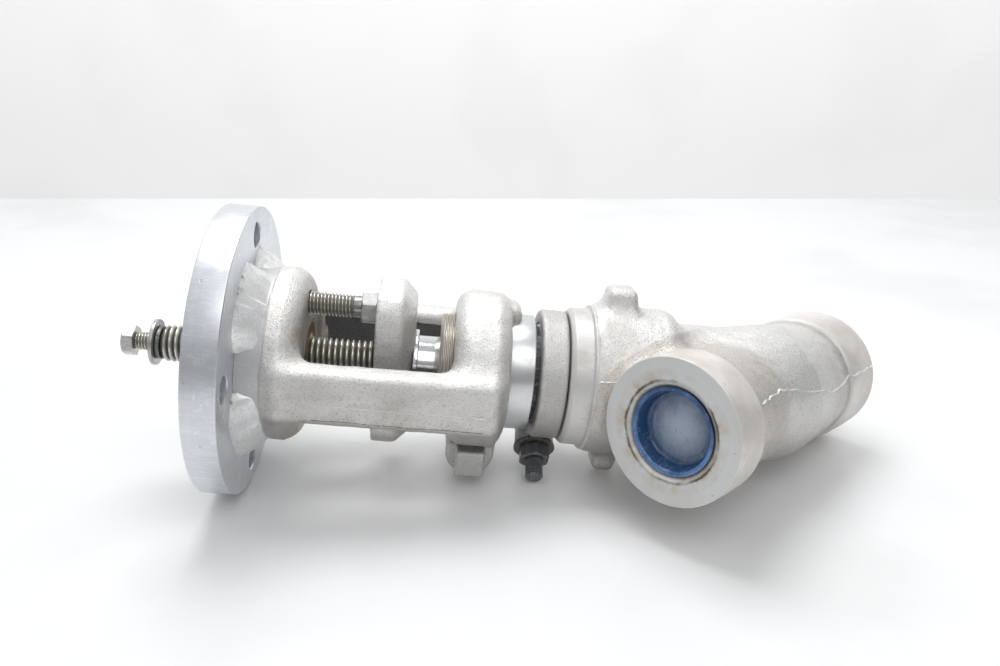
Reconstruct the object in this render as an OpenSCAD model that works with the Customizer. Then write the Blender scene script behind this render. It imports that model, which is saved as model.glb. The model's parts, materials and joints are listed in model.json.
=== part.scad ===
// Y-pattern needle valve with an outside-screw yoke and an actuator mounting flange.
//
// The valve is stored lying down: +Z is up, +X follows the stem from the actuator flange
// toward the body, and the origin is the centre of the actuator flange's outer face.
// Every sub-part is drawn in the valve's own frame and laid down at the end:
//   z  station along the stem, from the flange's outer face toward the body
//   x  toward the ground, along the line of the two gland screws
//   y  away from the front port

/* [Attitude] */
// Fall of the stem toward the body when the valve lies down, degrees
stem_tilt = 6.1; // [0:0.1:15]
// Roll of the body about the stem, front port upward, degrees
body_roll = 4.6; // [0:0.1:15]
// Turn of the yoke on the bonnet against the body, degrees
yoke_turn = 9.3; // [0:0.1:20]

/* [Actuator flange] */
// Outside diameter of the actuator flange
flange_d = 125; // [112:1:150]
// Thickness of the actuator flange
flange_t = 13.5; // [10:0.5:16]
// Bolt circle of the actuator flange
flange_pcd = 102; // [98:1:125]
// Diameter of each bolt hole in the actuator flange
flange_hole_d = 11; // [9:0.5:12]
// Diameter of the yoke spigot that the flange is welded on
spigot_d = 48; // [40:1:54]

/* [Yoke] */
// Radius of the yoke's upper block
yoke_top_r = 38; // [36:0.5:42]
// Thickness of the yoke's upper block
yoke_top_t = 14; // [12:0.5:16]
// Radius of the yoke's lower block
yoke_low_r = 34.8; // [32:0.5:38]
// Thickness of the yoke's lower block
yoke_low_t = 24; // [22:0.5:26]
// Clear length of the yoke window between the blocks
yoke_window = 62.5; // [60:0.5:76]
// Width of each yoke arm
arm_w = 25; // [20:1:30]
// Thickness of each yoke arm
arm_t = 12; // [9:0.5:14]
// Radius of the outer faces of the yoke arms
arm_r = 40; // [38:0.5:44]

/* [Stem] */
// Outside diameter of the stem thread
stem_d = 16; // [14:0.5:18]
// Pitch of the stem thread
stem_pitch = 2.5; // [2:0.5:4]
// Diameter of the polished stem shank
shank_d = 14; // [12:0.5:14]
// Length of stem that stands out of the flange
stem_out = 25; // [20:0.5:30]
// Lift of the needle from closed to open
lift = 12; // [6:1:14]

/* [Gland] */
// Distance of each gland screw from the stem
gland_screw_r = 25; // [24:0.5:27]
// Thread diameter of the gland screws
gland_screw_d = 10; // [8:1:10]
// Half length of the oval gland flange
gland_half = 37; // [34:0.5:40]
// Thickness of the gland flange
gland_t = 16.5; // [12:0.5:18]
// Outside diameter of the gland follower
follower_d = 25; // [21:0.5:26]
// Number of packing rings
packing_count = 5; // [4:1:6]
// Thickness of one packing ring
packing_t = 5; // [4:0.5:5]

/* [Bonnet] */
// Thread diameter of the bonnet's upper end
bonnet_thread_d = 47; // [44:0.5:48]
// Diameter of the bonnet's turned collar
collar_d = 51.4; // [49:0.2:54]
// Diameter of the bonnet below the collar, in the clamp ring and the body
bonnet_d = 44; // [42:0.5:46]

/* [Body] */
// Outside diameter of the port collars
port_d = 60; // [57:0.5:64]
// Bore of the pipe sockets
socket_d = 34.2; // [32:0.1:36]
// Depth of the pipe sockets
socket_depth = 13; // [12:0.5:16]
// Bore of the flow passage
flow_d = 22; // [18:0.5:24]
// Length of the front branch from the stem's line
front_len = 84; // [78:1:92]
// Length of the rear branch from the stem's line
rear_len = 56; // [52:1:62]
// Angle between the stem and the run
branch_angle = 45; // [42:1:48]
// Diameter of the body's neck
neck_d = 66; // [64:0.5:70]

/* [Hidden] */
$fn = 64;

// Running clearance between a shaft and its bore, radial
running = 0.05;
// Loose clearance between parts that only pass each other, radial
loose = 0.4;
// Extra length of a cutter past the face it cuts
past = 1;

// Stations along the stem, in the order they are met
z_hub = flange_t;
hub_r = yoke_top_r - 0.5;
z_top = flange_t + 10;
z_window = z_top + yoke_top_t;
z_low = z_window + yoke_window;
z_low_end = z_low + yoke_low_t;
collar_t = 10.7;
z_collar_end = z_low_end + collar_t;
groove_t = 2.5;
z_clamp = z_collar_end + groove_t;
clamp_ring_w = 11.6;
z_body = z_clamp + clamp_ring_w + 0.4;
body_ring_w = 13;
z_neck = z_body + body_ring_w;
z_cross = z_neck + 82.1;

// Gland, from the screw heads to the packing
hex_t = 7;
z_gland = z_window + 29;
z_gland_end = z_gland + gland_t;
shoulder_t = 1.8;
shoulder_d = 30;
z_bonnet = z_low - 6;
follower_in = 8.5;
z_follower_end = z_bonnet + follower_in;
tighten_travel = 3;
loosen_travel = 8;
z_thread_end = z_gland_end - loosen_travel - 1.5;
z_packing = z_follower_end + tighten_travel + 0.5;
z_spacer = z_packing + packing_count * packing_t + 0.1;
spacer_t = 8;
z_box_end = z_spacer + spacer_t + 0.1;
box_d = follower_d + 4 * running;

pilot_d = 6;
pilot_t = 5;

// Bonnet below the collar
z_bonnet_thread_end = z_body + 28.3;
gasket_t = 2;
nose_d = 33.8;
z_nose_end = z_bonnet_thread_end + gasket_t + 9;
chamber_d = 34;

// Seat, needle and the foot of the stem
seat_t = 9;
seat_d = 27;
seat_bore_d = 14.2;
z_seat_end = z_cross - 0.3;
z_seat = z_seat_end - seat_t;
taper = 0.5;
seat_cone_t = 4;
needle_d = 26;
needle_gap = 0.1;
z_taper = z_seat - (needle_d / 2 - seat_bore_d / 2 - taper * seat_cone_t) / taper;
needle_tip_r = 2;
z_needle = z_taper - 19;
z_foot = z_needle + 6;
foot_t = 5;
foot_d = 19;
retainer_d = 22;

// Bushing, its lock screw and the holes of the upper block
bushing_d = 30;
z_bushing = z_hub - 4;
lock_hole_d = 5.1;
lock_screw_d = 5;
lock_key_af = 2.5;
lock_turn = 45;
z_lock = z_top + 4;
z_spigot = 3;
screw_hole_start = z_hub + 2;

// Bevel at the mouth of each socket, and the passages' overlap inside the body
mouth_t = 3;
passage_front = 14;
passage_rear = 10;

// Length of the two turned collars of the run
front_collar_t = 20;
rear_collar_t = 27;

// Clamp ring's boss, turned down and backward
clamp_turn = 37;
clamp_reach = 29.7;
clamp_ring_d = 57.4;
clamp_boss_d = 18;
clamp_washer_d = 19;
z_clamp_boss = z_clamp + 4.2;
clamp_near = 20.6;
clamp_far = 18;
m8 = 8;
m8_af = 13;
m8_nut_t = 6.5;
clamp_washer_t = 1.6;
clamp_stud_out = 37.5;

// Pinch ear of the yoke's lower block
ear_r = 11;
ear_reach = 37.5;
ear_half = 13;
z_ear = z_low + 11.5;
split_gap = 3;
square_t = 9;
spotface_d = 21;
spotface_t = 12;

// Screw, washers and thread at the stem's outer end
z_end_head = -stem_out - 11.8;
end_head_af = 12;
end_head_t = 4.9;
washer_d = 20;
z_washer = -stem_out - 4;
stem_washer_t = 1.6;
spring_washer_t = 2.2;
spring_washer_d = 14.4;
spring_cut = 1.6;
end_hole_depth = 4;

// Plug in the front socket
plug_depth = 8;
plug_wall = 1.2;
plug_rim_back = 0.6;

// ---------------------------------------------------------------- shared shapes

// The valve's frame laid down on its side.
module lay_down() {
    rotate([0, 90 + stem_tilt, 0]) rotate([0, 0, -body_roll]) children();
}

// The yoke, its screws and the gland share one turn on the bonnet.
module yoke_frame() {
    rotate([0, 0, yoke_turn]) children();
}

// The run: its axis crosses the stem, local +Z points out of the front port.
module run_frame() {
    translate([0, 0, z_cross]) rotate([180 - branch_angle, 0, 0]) children();
}

// The clamp bolt: local +Z runs down and forward, toward the nut.
module clamp_frame() {
    rotate([0, 0, clamp_turn]) translate([clamp_reach, 0, z_clamp_boss]) rotate([90, 0, 0])
        children();
}

// The pinch bolt: local +Z runs forward, toward the square head.
module pinch_frame() {
    yoke_frame() translate([ear_reach, 0, z_ear]) rotate([90, 0, 0]) children();
}

// A round bar from station a to station b.
module bar(d, a, b) {
    translate([0, 0, a]) cylinder(d = d, h = b - a);
}

// A tube from station a to station b.
module tube(d, bore, a, b) {
    difference() {
        bar(d, a, b);
        bar(bore, a - past, b + past);
    }
}

// A disc whose two rims are rounded, r_a at station a and r_b at station b.
module rounded_disc(r, a, b, r_a, r_b) {
    rotate_extrude() {
        translate([0, a]) square([r - max(r_a, r_b), b - a]);
        translate([0, a + r_a]) square([r, b - a - r_a - r_b]);
        translate([0, a]) square([r - r_a, (b - a) / 2]);
        translate([0, (a + b) / 2]) square([r - r_b, (b - a) / 2]);
        intersection() {
            translate([r - r_a, a + r_a]) circle(r = r_a);
            translate([0, a]) square([r + past, b - a]);
        }
        intersection() {
            translate([r - r_b, b - r_b]) circle(r = r_b);
            translate([0, a]) square([r + past, b - a]);
        }
    }
}

// A threaded bar drawn as ring ridges, with its ends bevelled.
module ridged_bar(d, pitch, a, b) {
    depth = 0.54 * pitch;
    turns = floor((b - a) / pitch) - 1;
    start = (b - a - turns * pitch) / 2 + a;
    ridges = [
        for (i = [0 : turns - 1])
            each [
                [d / 2 - depth, start + i * pitch],
                [d / 2, start + (i + 0.4) * pitch],
                [d / 2, start + (i + 0.6) * pitch]
            ]
    ];
    rotate_extrude()
        polygon(concat(
            [[0, a], [d / 2 - depth, a]],
            ridges,
            [[d / 2 - depth, start + turns * pitch], [d / 2 - depth, b], [0, b]]
        ));
}

// A hexagon across the flats af from station a to station b, its far corners bevelled.
module hexagon(af, a, b) {
    corner = af / cos(30);
    intersection() {
        translate([0, 0, a]) cylinder(d = corner, h = b - a, $fn = 6);
        translate([0, 0, a]) cylinder(d1 = corner + (b - a) * 3, d2 = af * 0.96, h = b - a);
    }
}

// A bar of rounded rectangular section, x by y, from station a to station b.
module rounded_bar(x, y, r, a, b) {
    translate([0, 0, a]) linear_extrude(b - a) {
        square([x - 2 * r, y], center = true);
        square([x, y - 2 * r], center = true);
        for (sx = [-1, 1])
            for (sy = [-1, 1])
                translate([sx * (x / 2 - r), sy * (y / 2 - r)]) circle(r = r);
    }
}

// ---------------------------------------------------------------- body group

// Outer casting of one branch of the run, swept about the run's axis.
module run_casting() {
    collar_r = port_d / 2;
    neck_r = collar_r - 2.2;
    edge = 0.5;
    rotate_extrude()
        polygon([
            [0, -rear_len],
            [collar_r - edge, -rear_len],
            [collar_r, -rear_len + edge],
            [collar_r, -rear_len + rear_collar_t],
            [neck_r + 1, -rear_len + rear_collar_t + 4],
            [neck_r + 1, -12],
            [neck_r + 2, 8],
            [neck_r - 2, 30],
            [neck_r - 1, front_len - front_collar_t - 4],
            [collar_r, front_len - front_collar_t],
            [collar_r, front_len - edge],
            [collar_r - edge, front_len],
            [0, front_len]
        ]);
}

// Neck, ring and crown of the casting, swept about the stem.
module neck_casting() {
    rotate_extrude()
        polygon([
            [0, z_body],
            [neck_d / 2 - 4, z_body],
            [neck_d / 2 - 2.5, z_body + 1.5],
            [neck_d / 2 - 2.5, z_neck - 2.5],
            [neck_d / 2 - 0.5, z_neck - 1],
            [neck_d / 2, z_neck],
            [neck_d / 2 + 0.4, z_neck + 22],
            [neck_d / 2 - 0.6, z_neck + 31],
            [neck_d / 2 - 4, z_neck + 38],
            [neck_d / 2 - 5, z_cross],
            [0, z_cross]
        ]);
}

// One bracket lug on the neck, drawn toward +x.
module neck_lug() {
    lug_w = 15;
    lug_depth = 17;
    lug_reach = neck_d / 2 + 9.8;
    z_lug = z_neck + 9.3;
    corner = 4;
    translate([0, 0, z_lug]) rotate([0, 90, 0]) {
        rounded_bar(lug_w, lug_depth, corner, neck_d / 2 - 8, lug_reach - 3);
        rounded_bar(lug_w - 4, lug_depth - 4, corner - 2, lug_reach - 4, lug_reach);
    }
}

module body() {
    color("gainsboro") lay_down() difference() {
        union() {
            run_frame() run_casting();
            neck_casting();
            translate([0, 0, z_cross]) sphere(d = port_d + 3);
            neck_lug();
            mirror([1, 0, 0]) neck_lug();
        }
        bar(bonnet_d + 2 * running, z_body - past, z_bonnet_thread_end + gasket_t);
        bar(chamber_d, z_bonnet_thread_end, z_seat);
        bar(seat_d, z_seat - past, z_seat_end);
        bar(seat_bore_d + 2, z_seat, z_cross + passage_front);
        run_frame() {
            bar(flow_d, passage_front, front_len);
            bar(socket_d, front_len - socket_depth, front_len + past);
            translate([0, 0, front_len - mouth_t + 0.1])
                cylinder(d1 = socket_d, d2 = socket_d + 2 * mouth_t, h = mouth_t);
            bar(flow_d, -rear_len, -passage_rear);
            bar(socket_d, -rear_len - past, -rear_len + socket_depth);
            translate([0, 0, -rear_len - 0.1])
                cylinder(d1 = socket_d + 2 * mouth_t, d2 = socket_d, h = mouth_t);
        }
    }
}

module seat_ring() {
    mouth_d = seat_bore_d + 2 * taper * seat_cone_t;
    color("silver") lay_down() difference() {
        bar(seat_d, z_seat, z_seat_end);
        bar(seat_bore_d, z_seat - past, z_seat_end + past);
        translate([0, 0, z_seat]) cylinder(d1 = mouth_d, d2 = seat_bore_d, h = seat_cone_t);
    }
}

module bonnet() {
    color("silver") lay_down() difference() {
        union() {
            ridged_bar(bonnet_thread_d, 1.5, z_bonnet, z_low + 6);
            bar(bonnet_thread_d, z_low + 5, z_low_end);
            rounded_disc(collar_d / 2, z_low_end, z_collar_end, 0.8, 0.8);
            bar(bonnet_d - 2, z_collar_end - past, z_clamp + past);
            bar(bonnet_d, z_clamp, z_bonnet_thread_end);
            bar(nose_d, z_bonnet_thread_end - past, z_nose_end);
        }
        bar(box_d, z_bonnet - past, z_box_end);
        bar(shank_d + 2 * running, z_box_end - past, z_nose_end + past);
    }
}

module bonnet_gasket() {
    color("dimgray") lay_down()
        tube(bonnet_d, chamber_d + 0.4, z_bonnet_thread_end, z_bonnet_thread_end + gasket_t);
}

// ---------------------------------------------------------------- clamp ring

module clamp_ring() {
    color("gainsboro") lay_down() difference() {
        union() {
            rounded_disc(clamp_ring_d / 2, z_clamp, z_clamp + clamp_ring_w, 1.2, 1.2);
            clamp_frame() {
                bar(clamp_boss_d, -clamp_far, clamp_near);
            }
        }
        bar(bonnet_d + 2 * running, z_clamp - past, z_clamp + clamp_ring_w + past);
        bar(collar_d + 2 * loose, z_clamp - 20, z_clamp);
        bar(neck_d - 4, z_clamp + clamp_ring_w, z_neck);
        rotate([0, 0, clamp_turn]) translate([0, -split_gap / 2, z_clamp - 20])
            cube([60, split_gap, 40]);
        clamp_frame() bar(m8 + 2 * loose, -clamp_far - past, clamp_near + past);
    }
}

module clamp_bolt() {
    head_t = 5.3;
    color("dimgray") lay_down() clamp_frame() {
        mirror([0, 0, 1]) hexagon(m8_af, clamp_far, clamp_far + head_t);
        bar(m8, -clamp_far - 0.5, clamp_near - 6);
        ridged_bar(m8, 1.25, clamp_near - 6, clamp_stud_out);
    }
}

module clamp_washer() {
    color("dimgray") lay_down() clamp_frame()
        tube(clamp_washer_d, m8 + 0.6, clamp_near, clamp_near + clamp_washer_t);
}

module clamp_nut() {
    z_nut = clamp_near + clamp_washer_t;
    color("dimgray") lay_down() clamp_frame() difference() {
        hexagon(m8_af, z_nut, z_nut + m8_nut_t);
        bar(m8 + 2 * running, z_nut - past, z_nut + m8_nut_t + past);
    }
}

// ---------------------------------------------------------------- yoke group

// The bushing's lock screw: local +Z runs outward from the stem.
module lock_frame() {
    rotate([0, 0, lock_turn]) translate([0, 0, z_lock]) rotate([0, 90, 0]) children();
}

// One arm of the yoke, from inside the upper block to inside the lower block.
module yoke_arm() {
    rotate([0, 0, 90]) translate([arm_r - arm_t / 2, 0, 0])
        rounded_bar(arm_t, arm_w, 4, z_top + 1, z_low_end - 4);
}

module yoke() {
    color("gainsboro") lay_down() yoke_frame() difference() {
        union() {
            bar(spigot_d, z_spigot, z_hub + past);
            bar(2 * hub_r, z_hub, z_top + past);
            rounded_disc(yoke_top_r, z_top, z_window, 1, 10);
            yoke_arm();
            mirror([0, 1, 0]) yoke_arm();
            rounded_disc(yoke_low_r, z_low, z_low_end, 8, 7);
            translate([ear_reach, 0, z_ear]) rotate([90, 0, 0]) bar(2 * ear_r, -ear_half, ear_half);
            translate([bonnet_thread_d / 2 + 2, -ear_half, z_ear - ear_r])
                cube([ear_reach - bonnet_thread_d / 2 - 2, 2 * ear_half, 2 * ear_r]);
        }
        bar(bonnet_thread_d + 2 * running, z_low - past, z_low_end + past);
        translate([0, -split_gap / 2, z_low - 10]) cube([60, split_gap, yoke_low_t + 20]);
        translate([ear_reach, 0, z_ear]) rotate([90, 0, 0])
            bar(m8 + 2 * loose, -ear_half - past, ear_half + past);
        // flat seats for the pinch bolt's head and nut
        translate([ear_reach, 0, z_ear]) rotate([90, 0, 0]) {
            bar(spotface_d, ear_half, ear_half + spotface_t);
            bar(spotface_d, -ear_half - spotface_t, -ear_half);
        }
        // bushing seat, gland screw holes and the lock screw's hole
        bar(bushing_d, z_bushing, z_window + past);
        bar(stem_d + 6, -past, z_hub);
        for (side = [-1, 1])
            translate([side * gland_screw_r, 0, 0])
                bar(gland_screw_d + 2 * running, screw_hole_start, z_window + past);
        lock_frame() bar(lock_hole_d, 10, yoke_top_r + past);
    }
}

module yoke_pinch_bolt() {
    side = 13;
    color("lightgray") lay_down() pinch_frame() {
        translate([0, 0, ear_half]) linear_extrude(square_t) square(side, center = true);
        bar(m8, -ear_half + 4, ear_half + 0.5);
        ridged_bar(m8, 1.25, -ear_half - 10, -ear_half + 4);
    }
}

module yoke_pinch_nut() {
    color("lightgray") lay_down() pinch_frame() mirror([0, 0, 1]) difference() {
        hexagon(m8_af, ear_half, ear_half + m8_nut_t);
        bar(m8 + 2 * running, ear_half - past, ear_half + m8_nut_t + past);
    }
}

module yoke_bushing() {
    color("goldenrod") lay_down() yoke_frame() difference() {
        bar(bushing_d, z_bushing, z_window);
        bar(stem_d + 2 * running, z_bushing - past, z_window + past);
        lock_frame() bar(lock_hole_d, 12, bushing_d);
    }
}

module bushing_lock_screw() {
    tip = 12.2;
    outer_end = 24;
    key_depth = 2;
    color("dimgray") lay_down() yoke_frame() lock_frame() difference() {
        bar(lock_screw_d, tip, outer_end);
        translate([0, 0, outer_end - key_depth])
            cylinder(d = lock_key_af / cos(30), h = key_depth + past, $fn = 6);
    }
}

module actuator_flange() {
    color("lightsteelblue") lay_down() difference() {
        rounded_disc(flange_d / 2, 0, flange_t, 0.8, 0.8);
        bar(spigot_d + 2 * running, -past, flange_t + past);
        for (turn = [0 : 90 : 270])
            rotate([0, 0, turn]) translate([flange_pcd / 2, 0, 0])
                bar(flange_hole_d, -past, flange_t + past);
    }
}

// Four fillet runs between the flange and the yoke's hub.
module flange_welds() {
    leg_out = 9;
    leg_up = 9.5;
    // start and sweep of each weld about the stem
    spans = [[11, 68], [101, 68], [186, 58], [272, 78]];
    color("white") lay_down() yoke_frame()
        for (span = spans)
            rotate([0, 0, span[0]]) rotate_extrude(angle = span[1])
                polygon([
                    [hub_r, z_hub],
                    [hub_r + leg_out, z_hub],
                    [hub_r + leg_out * 0.72, z_hub + leg_up * 0.42],
                    [hub_r + leg_out * 0.32, z_hub + leg_up * 0.8],
                    [hub_r, z_hub + leg_up]
                ]);
}

// ---------------------------------------------------------------- stem group

module stem() {
    color("slategray") lay_down() difference() {
        union() {
            ridged_bar(stem_d, stem_pitch, -stem_out, z_thread_end);
            bar(shank_d, z_thread_end - past, z_foot);
            bar(foot_d, z_foot - 0.1, z_foot + foot_t);
        }
        bar(m8 + 2 * running, -stem_out - past, end_hole_depth);
    }
}

module needle() {
    taper_len = (needle_d / 2 - needle_tip_r) / taper;
    color("silver") lay_down() difference() {
        union() {
            bar(needle_d, z_needle, z_taper - needle_gap / taper);
            translate([0, 0, z_taper - needle_gap / taper])
                cylinder(r1 = needle_d / 2, r2 = needle_tip_r, h = taper_len);
        }
        bar(foot_d + 2 * running, z_needle - past, z_foot + foot_t + running);
        bar(retainer_d, z_needle - past, z_foot - running);
    }
}

module needle_retainer() {
    color("silver") lay_down()
        tube(retainer_d, shank_d + 2 * running, z_needle + 0.5, z_foot - 0.1 - running);
}

module stem_end_screw() {
    color("lightgray") lay_down() {
        mirror([0, 0, 1]) hexagon(end_head_af, -z_end_head, -z_end_head + end_head_t);
        ridged_bar(m8, 1.25, z_end_head - 0.1, -4);
    }
}

module stem_end_washer() {
    color("lightgray") lay_down()
        tube(washer_d, m8 + 2 * loose, z_washer, z_washer + stem_washer_t);
}

module stem_spring_washer() {
    color("dimgray") lay_down() difference() {
        tube(spring_washer_d, m8 + 2 * loose, z_washer + stem_washer_t, z_washer + stem_washer_t + spring_washer_t);
        translate([0, -spring_cut / 2, z_washer]) cube([spring_washer_d, spring_cut, 6]);
    }
}

// ---------------------------------------------------------------- gland group

module gland_flange() {
    half_w = 16;
    edge = 5;
    color("gainsboro") lay_down() yoke_frame() difference() {
        union() {
            rounded_bar(2 * gland_half, 2 * half_w, 11, z_gland, z_gland_end - edge);
            rounded_bar(2 * gland_half - 5, 2 * half_w - 4, 10, z_gland + past, z_gland_end - edge / 2);
            rounded_bar(2 * gland_half - 13, 2 * half_w - 9, 9, z_gland + past, z_gland_end);
        }
        bar(stem_d + 2 * loose, z_gland - past, z_gland_end + past);
        for (side = [-1, 1])
            translate([side * gland_screw_r, 0, 0])
                bar(pilot_d + 2 * running, z_gland - past, z_gland + pilot_t + past);
    }
}

module gland_follower() {
    color("silver") lay_down() difference() {
        union() {
            bar(shoulder_d, z_gland_end, z_gland_end + shoulder_t);
            bar(follower_d, z_gland_end, z_follower_end);
        }
        bar(shank_d + 2 * running, z_gland_end - past, z_follower_end + past);
    }
}

// A jack screw: threaded into the yoke, its head pushes on the gland flange.
module gland_screw(side) {
    color("silver") lay_down() yoke_frame() translate([side * gland_screw_r, 0, 0]) {
        ridged_bar(gland_screw_d, 1.5, z_window - 11, z_gland - hex_t - 3);
        bar(gland_screw_d - 0.6, z_gland - hex_t - 3.1, z_gland - hex_t + past);
        hexagon(m8_af, z_gland - hex_t, z_gland);
        bar(pilot_d, z_gland - past, z_gland + pilot_t);
    }
}

module gland_screw_top() {
    gland_screw(-1);
}

module gland_screw_bottom() {
    gland_screw(1);
}

module packing_rings() {
    color("black") lay_down()
        for (i = [0 : packing_count - 1])
            tube(
                follower_d, shank_d + 4 * running,
                z_packing + i * packing_t, z_packing + (i + 1) * packing_t - 0.1
            );
}

module packing_spacer() {
    color("silver") lay_down()
        tube(follower_d, shank_d + 4 * running, z_spacer, z_spacer + spacer_t);
}

// ---------------------------------------------------------------- front socket

module outlet_plug() {
    cup_d = socket_d - 0.4;
    mouth = front_len - plug_rim_back;
    color("royalblue") lay_down() run_frame() difference() {
        bar(cup_d, mouth - plug_depth - plug_wall, mouth);
        bar(cup_d - 2 * plug_wall, mouth - plug_depth, mouth + past);
    }
}

body();
seat_ring();
bonnet();
bonnet_gasket();
clamp_ring();
clamp_bolt();
clamp_washer();
clamp_nut();
yoke();
yoke_pinch_bolt();
yoke_pinch_nut();
yoke_bushing();
bushing_lock_screw();
actuator_flange();
flange_welds();
stem();
needle();
needle_retainer();
gland_flange();
gland_follower();
gland_screw_top();
gland_screw_bottom();
packing_rings();
packing_spacer();
stem_end_screw();
stem_end_washer();
stem_spring_washer();
outlet_plug();
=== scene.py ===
"""Visual model of a Y-pattern needle valve with a yoke and an actuator flange.

Every piece is drawn in millimetres in the valve's own frame and then laid down in the row
frame: z runs along the stem from the actuator flange toward the body, x toward the ground
and y away from the front port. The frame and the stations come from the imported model.
"""
import json
import math

import bmesh
import bpy
import numpy as np
from mathutils import Matrix, Vector


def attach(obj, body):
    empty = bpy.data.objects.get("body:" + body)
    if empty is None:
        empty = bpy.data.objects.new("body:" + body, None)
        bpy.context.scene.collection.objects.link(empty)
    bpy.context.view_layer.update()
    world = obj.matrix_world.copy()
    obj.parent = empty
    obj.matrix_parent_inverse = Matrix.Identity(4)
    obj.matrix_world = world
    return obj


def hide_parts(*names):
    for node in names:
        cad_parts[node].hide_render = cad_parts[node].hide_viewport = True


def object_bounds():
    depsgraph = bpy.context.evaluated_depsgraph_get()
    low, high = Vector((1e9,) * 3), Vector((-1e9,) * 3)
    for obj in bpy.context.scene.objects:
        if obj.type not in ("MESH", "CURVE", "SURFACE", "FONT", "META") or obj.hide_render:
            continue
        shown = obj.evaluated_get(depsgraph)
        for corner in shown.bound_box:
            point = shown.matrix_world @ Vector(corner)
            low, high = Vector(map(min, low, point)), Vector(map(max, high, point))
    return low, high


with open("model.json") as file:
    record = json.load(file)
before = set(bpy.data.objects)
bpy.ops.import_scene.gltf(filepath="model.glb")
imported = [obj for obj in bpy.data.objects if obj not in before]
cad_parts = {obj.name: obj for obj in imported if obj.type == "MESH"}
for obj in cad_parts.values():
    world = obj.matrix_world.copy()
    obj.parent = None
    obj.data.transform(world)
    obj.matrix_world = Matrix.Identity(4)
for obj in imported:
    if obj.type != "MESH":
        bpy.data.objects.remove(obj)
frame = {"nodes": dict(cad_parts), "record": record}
cad_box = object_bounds()
record = frame["record"]

# ------------------------------------------------------------------ the valve's frame
# The joints give the stem's direction and the front port's direction, and with them the
# three axes of the valve. The yoke has a turn of its own, which the jack screws show.
JOINTS = {joint["name"]: joint for joint in record["behaviour"]["joints"]}
MOUNTS = {mount["name"]: mount for mount in record["mounts"]}
STEM = -Vector(JOINTS["needle_lift"]["axis"]).normalized()
PORT = Vector(JOINTS["outlet_plug_pull"]["axis"]).normalized()
BACK = -(PORT - PORT.dot(STEM) * STEM).normalized()
DOWN = BACK.cross(STEM)
MM = 0.001


def axes_frame(x, y, z, origin=(0, 0, 0)):
    """Matrix from millimetres along three row-frame axes to row-frame metres."""
    turn = Matrix((x, y, z)).transposed().to_4x4()
    return Matrix.Translation(Vector(origin)) @ turn @ Matrix.Scale(MM, 4)


def node_points(name, matrix):
    """The vertices of a CAD node, in millimetres of the given frame."""
    mesh = frame["nodes"][name].data
    points = np.empty(len(mesh.vertices) * 3)
    mesh.vertices.foreach_get("co", points)
    inverse = np.array(matrix.inverted())
    return points.reshape(-1, 3) @ inverse[:3, :3].T + inverse[:3, 3]


def span(name, matrix, axis=2):
    """The lowest and highest coordinate of a CAD node along one axis of a frame."""
    values = node_points(name, matrix)[:, axis]
    return values.min(), values.max()


VALVE = axes_frame(DOWN, BACK, STEM)
SCREW = Vector(JOINTS["gland_screw_bottom_turn"]["pos_m"])
SCREW_SIDE = (SCREW - SCREW.dot(STEM) * STEM).normalized()
YOKE = axes_frame(SCREW_SIDE, STEM.cross(SCREW_SIDE), STEM)
FRONT_MOUTH = Vector(MOUNTS["outlet_socket"]["pos_m"])
FRONT_LEN = abs((FRONT_MOUTH - FRONT_MOUTH.dot(STEM) * STEM).length / PORT.dot(-BACK)) / MM
CROSS = FRONT_MOUTH - PORT * FRONT_LEN * MM
Z_CROSS = CROSS.dot(STEM) / MM
RUN = axes_frame(DOWN, PORT.cross(DOWN), PORT, CROSS)

# ------------------------------------------------------------------ camera, table, light
# A pale table with a soft back edge, lit like a product shot: a broad light above and
# behind the valve, a weaker one in front, and white surroundings.
CAMERA_AT = (0.10634, -0.34279, 0.13591)
CAMERA_PITCH = 20.93
CAMERA_YAW = 2.47
LENS = 29.98

camera = bpy.data.objects.new("camera", bpy.data.cameras.new("camera"))
camera.data.lens = LENS
camera.data.sensor_width = 36
camera.data.clip_start = 0.01
camera.location = CAMERA_AT
camera.rotation_euler = (math.radians(90 - CAMERA_PITCH), 0, math.radians(-CAMERA_YAW))
bpy.context.scene.collection.objects.link(camera)
bpy.context.scene.camera = camera
bpy.context.scene.view_settings.view_transform = "Standard"


def area_light(name, at, toward, size, power, colour=(1, 1, 1)):
    light = bpy.data.objects.new(name, bpy.data.lights.new(name, "AREA"))
    light.data.shape = "DISK"
    light.data.size = size
    light.data.energy = power
    light.data.color = colour
    light.location = at
    light.rotation_euler = (Vector(toward) - Vector(at)).to_track_quat("-Z", "Y").to_euler()
    bpy.context.scene.collection.objects.link(light)


area_light("key", (0.02, 0.30, 0.95), (0.12, 0, 0), 0.6, 5.8)
area_light("front", (0.42, -0.75, 1.0), (0.12, 0, 0), 0.9, 3.4, (1, 0.99, 0.97))

# Shader nodes are written as calls: put() makes one node, and the others the common kinds.
def put(tree, kind, settings=None, **links):
    """One node, its settings, and its inputs given as values or as other nodes' outputs."""
    node = tree.nodes.new(kind)
    for key, value in (settings or {}).items():
        setattr(node, key, value)
    for key, value in links.items():
        key = key.replace("_", " ")
        by_number = key[0] == "i" and key[1:].isdigit()
        socket = node.inputs[int(key[1:]) if by_number else key]
        if isinstance(value, bpy.types.NodeSocket):
            tree.links.new(value, socket)
        else:
            socket.default_value = value
    return node


def maths(tree, operation, a, b=0.0, clamp=False):
    return put(tree, "ShaderNodeMath", {"operation": operation, "use_clamp": clamp},
               i0=a, i1=b).outputs[0]


def mul(tree, a, b, clamp=False):
    return maths(tree, "MULTIPLY", a, b, clamp)


def add(tree, a, b):
    return maths(tree, "ADD", a, b)


def sub(tree, a, b):
    return maths(tree, "SUBTRACT", a, b)


def most(tree, a, b):
    return maths(tree, "MAXIMUM", a, b)


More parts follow.
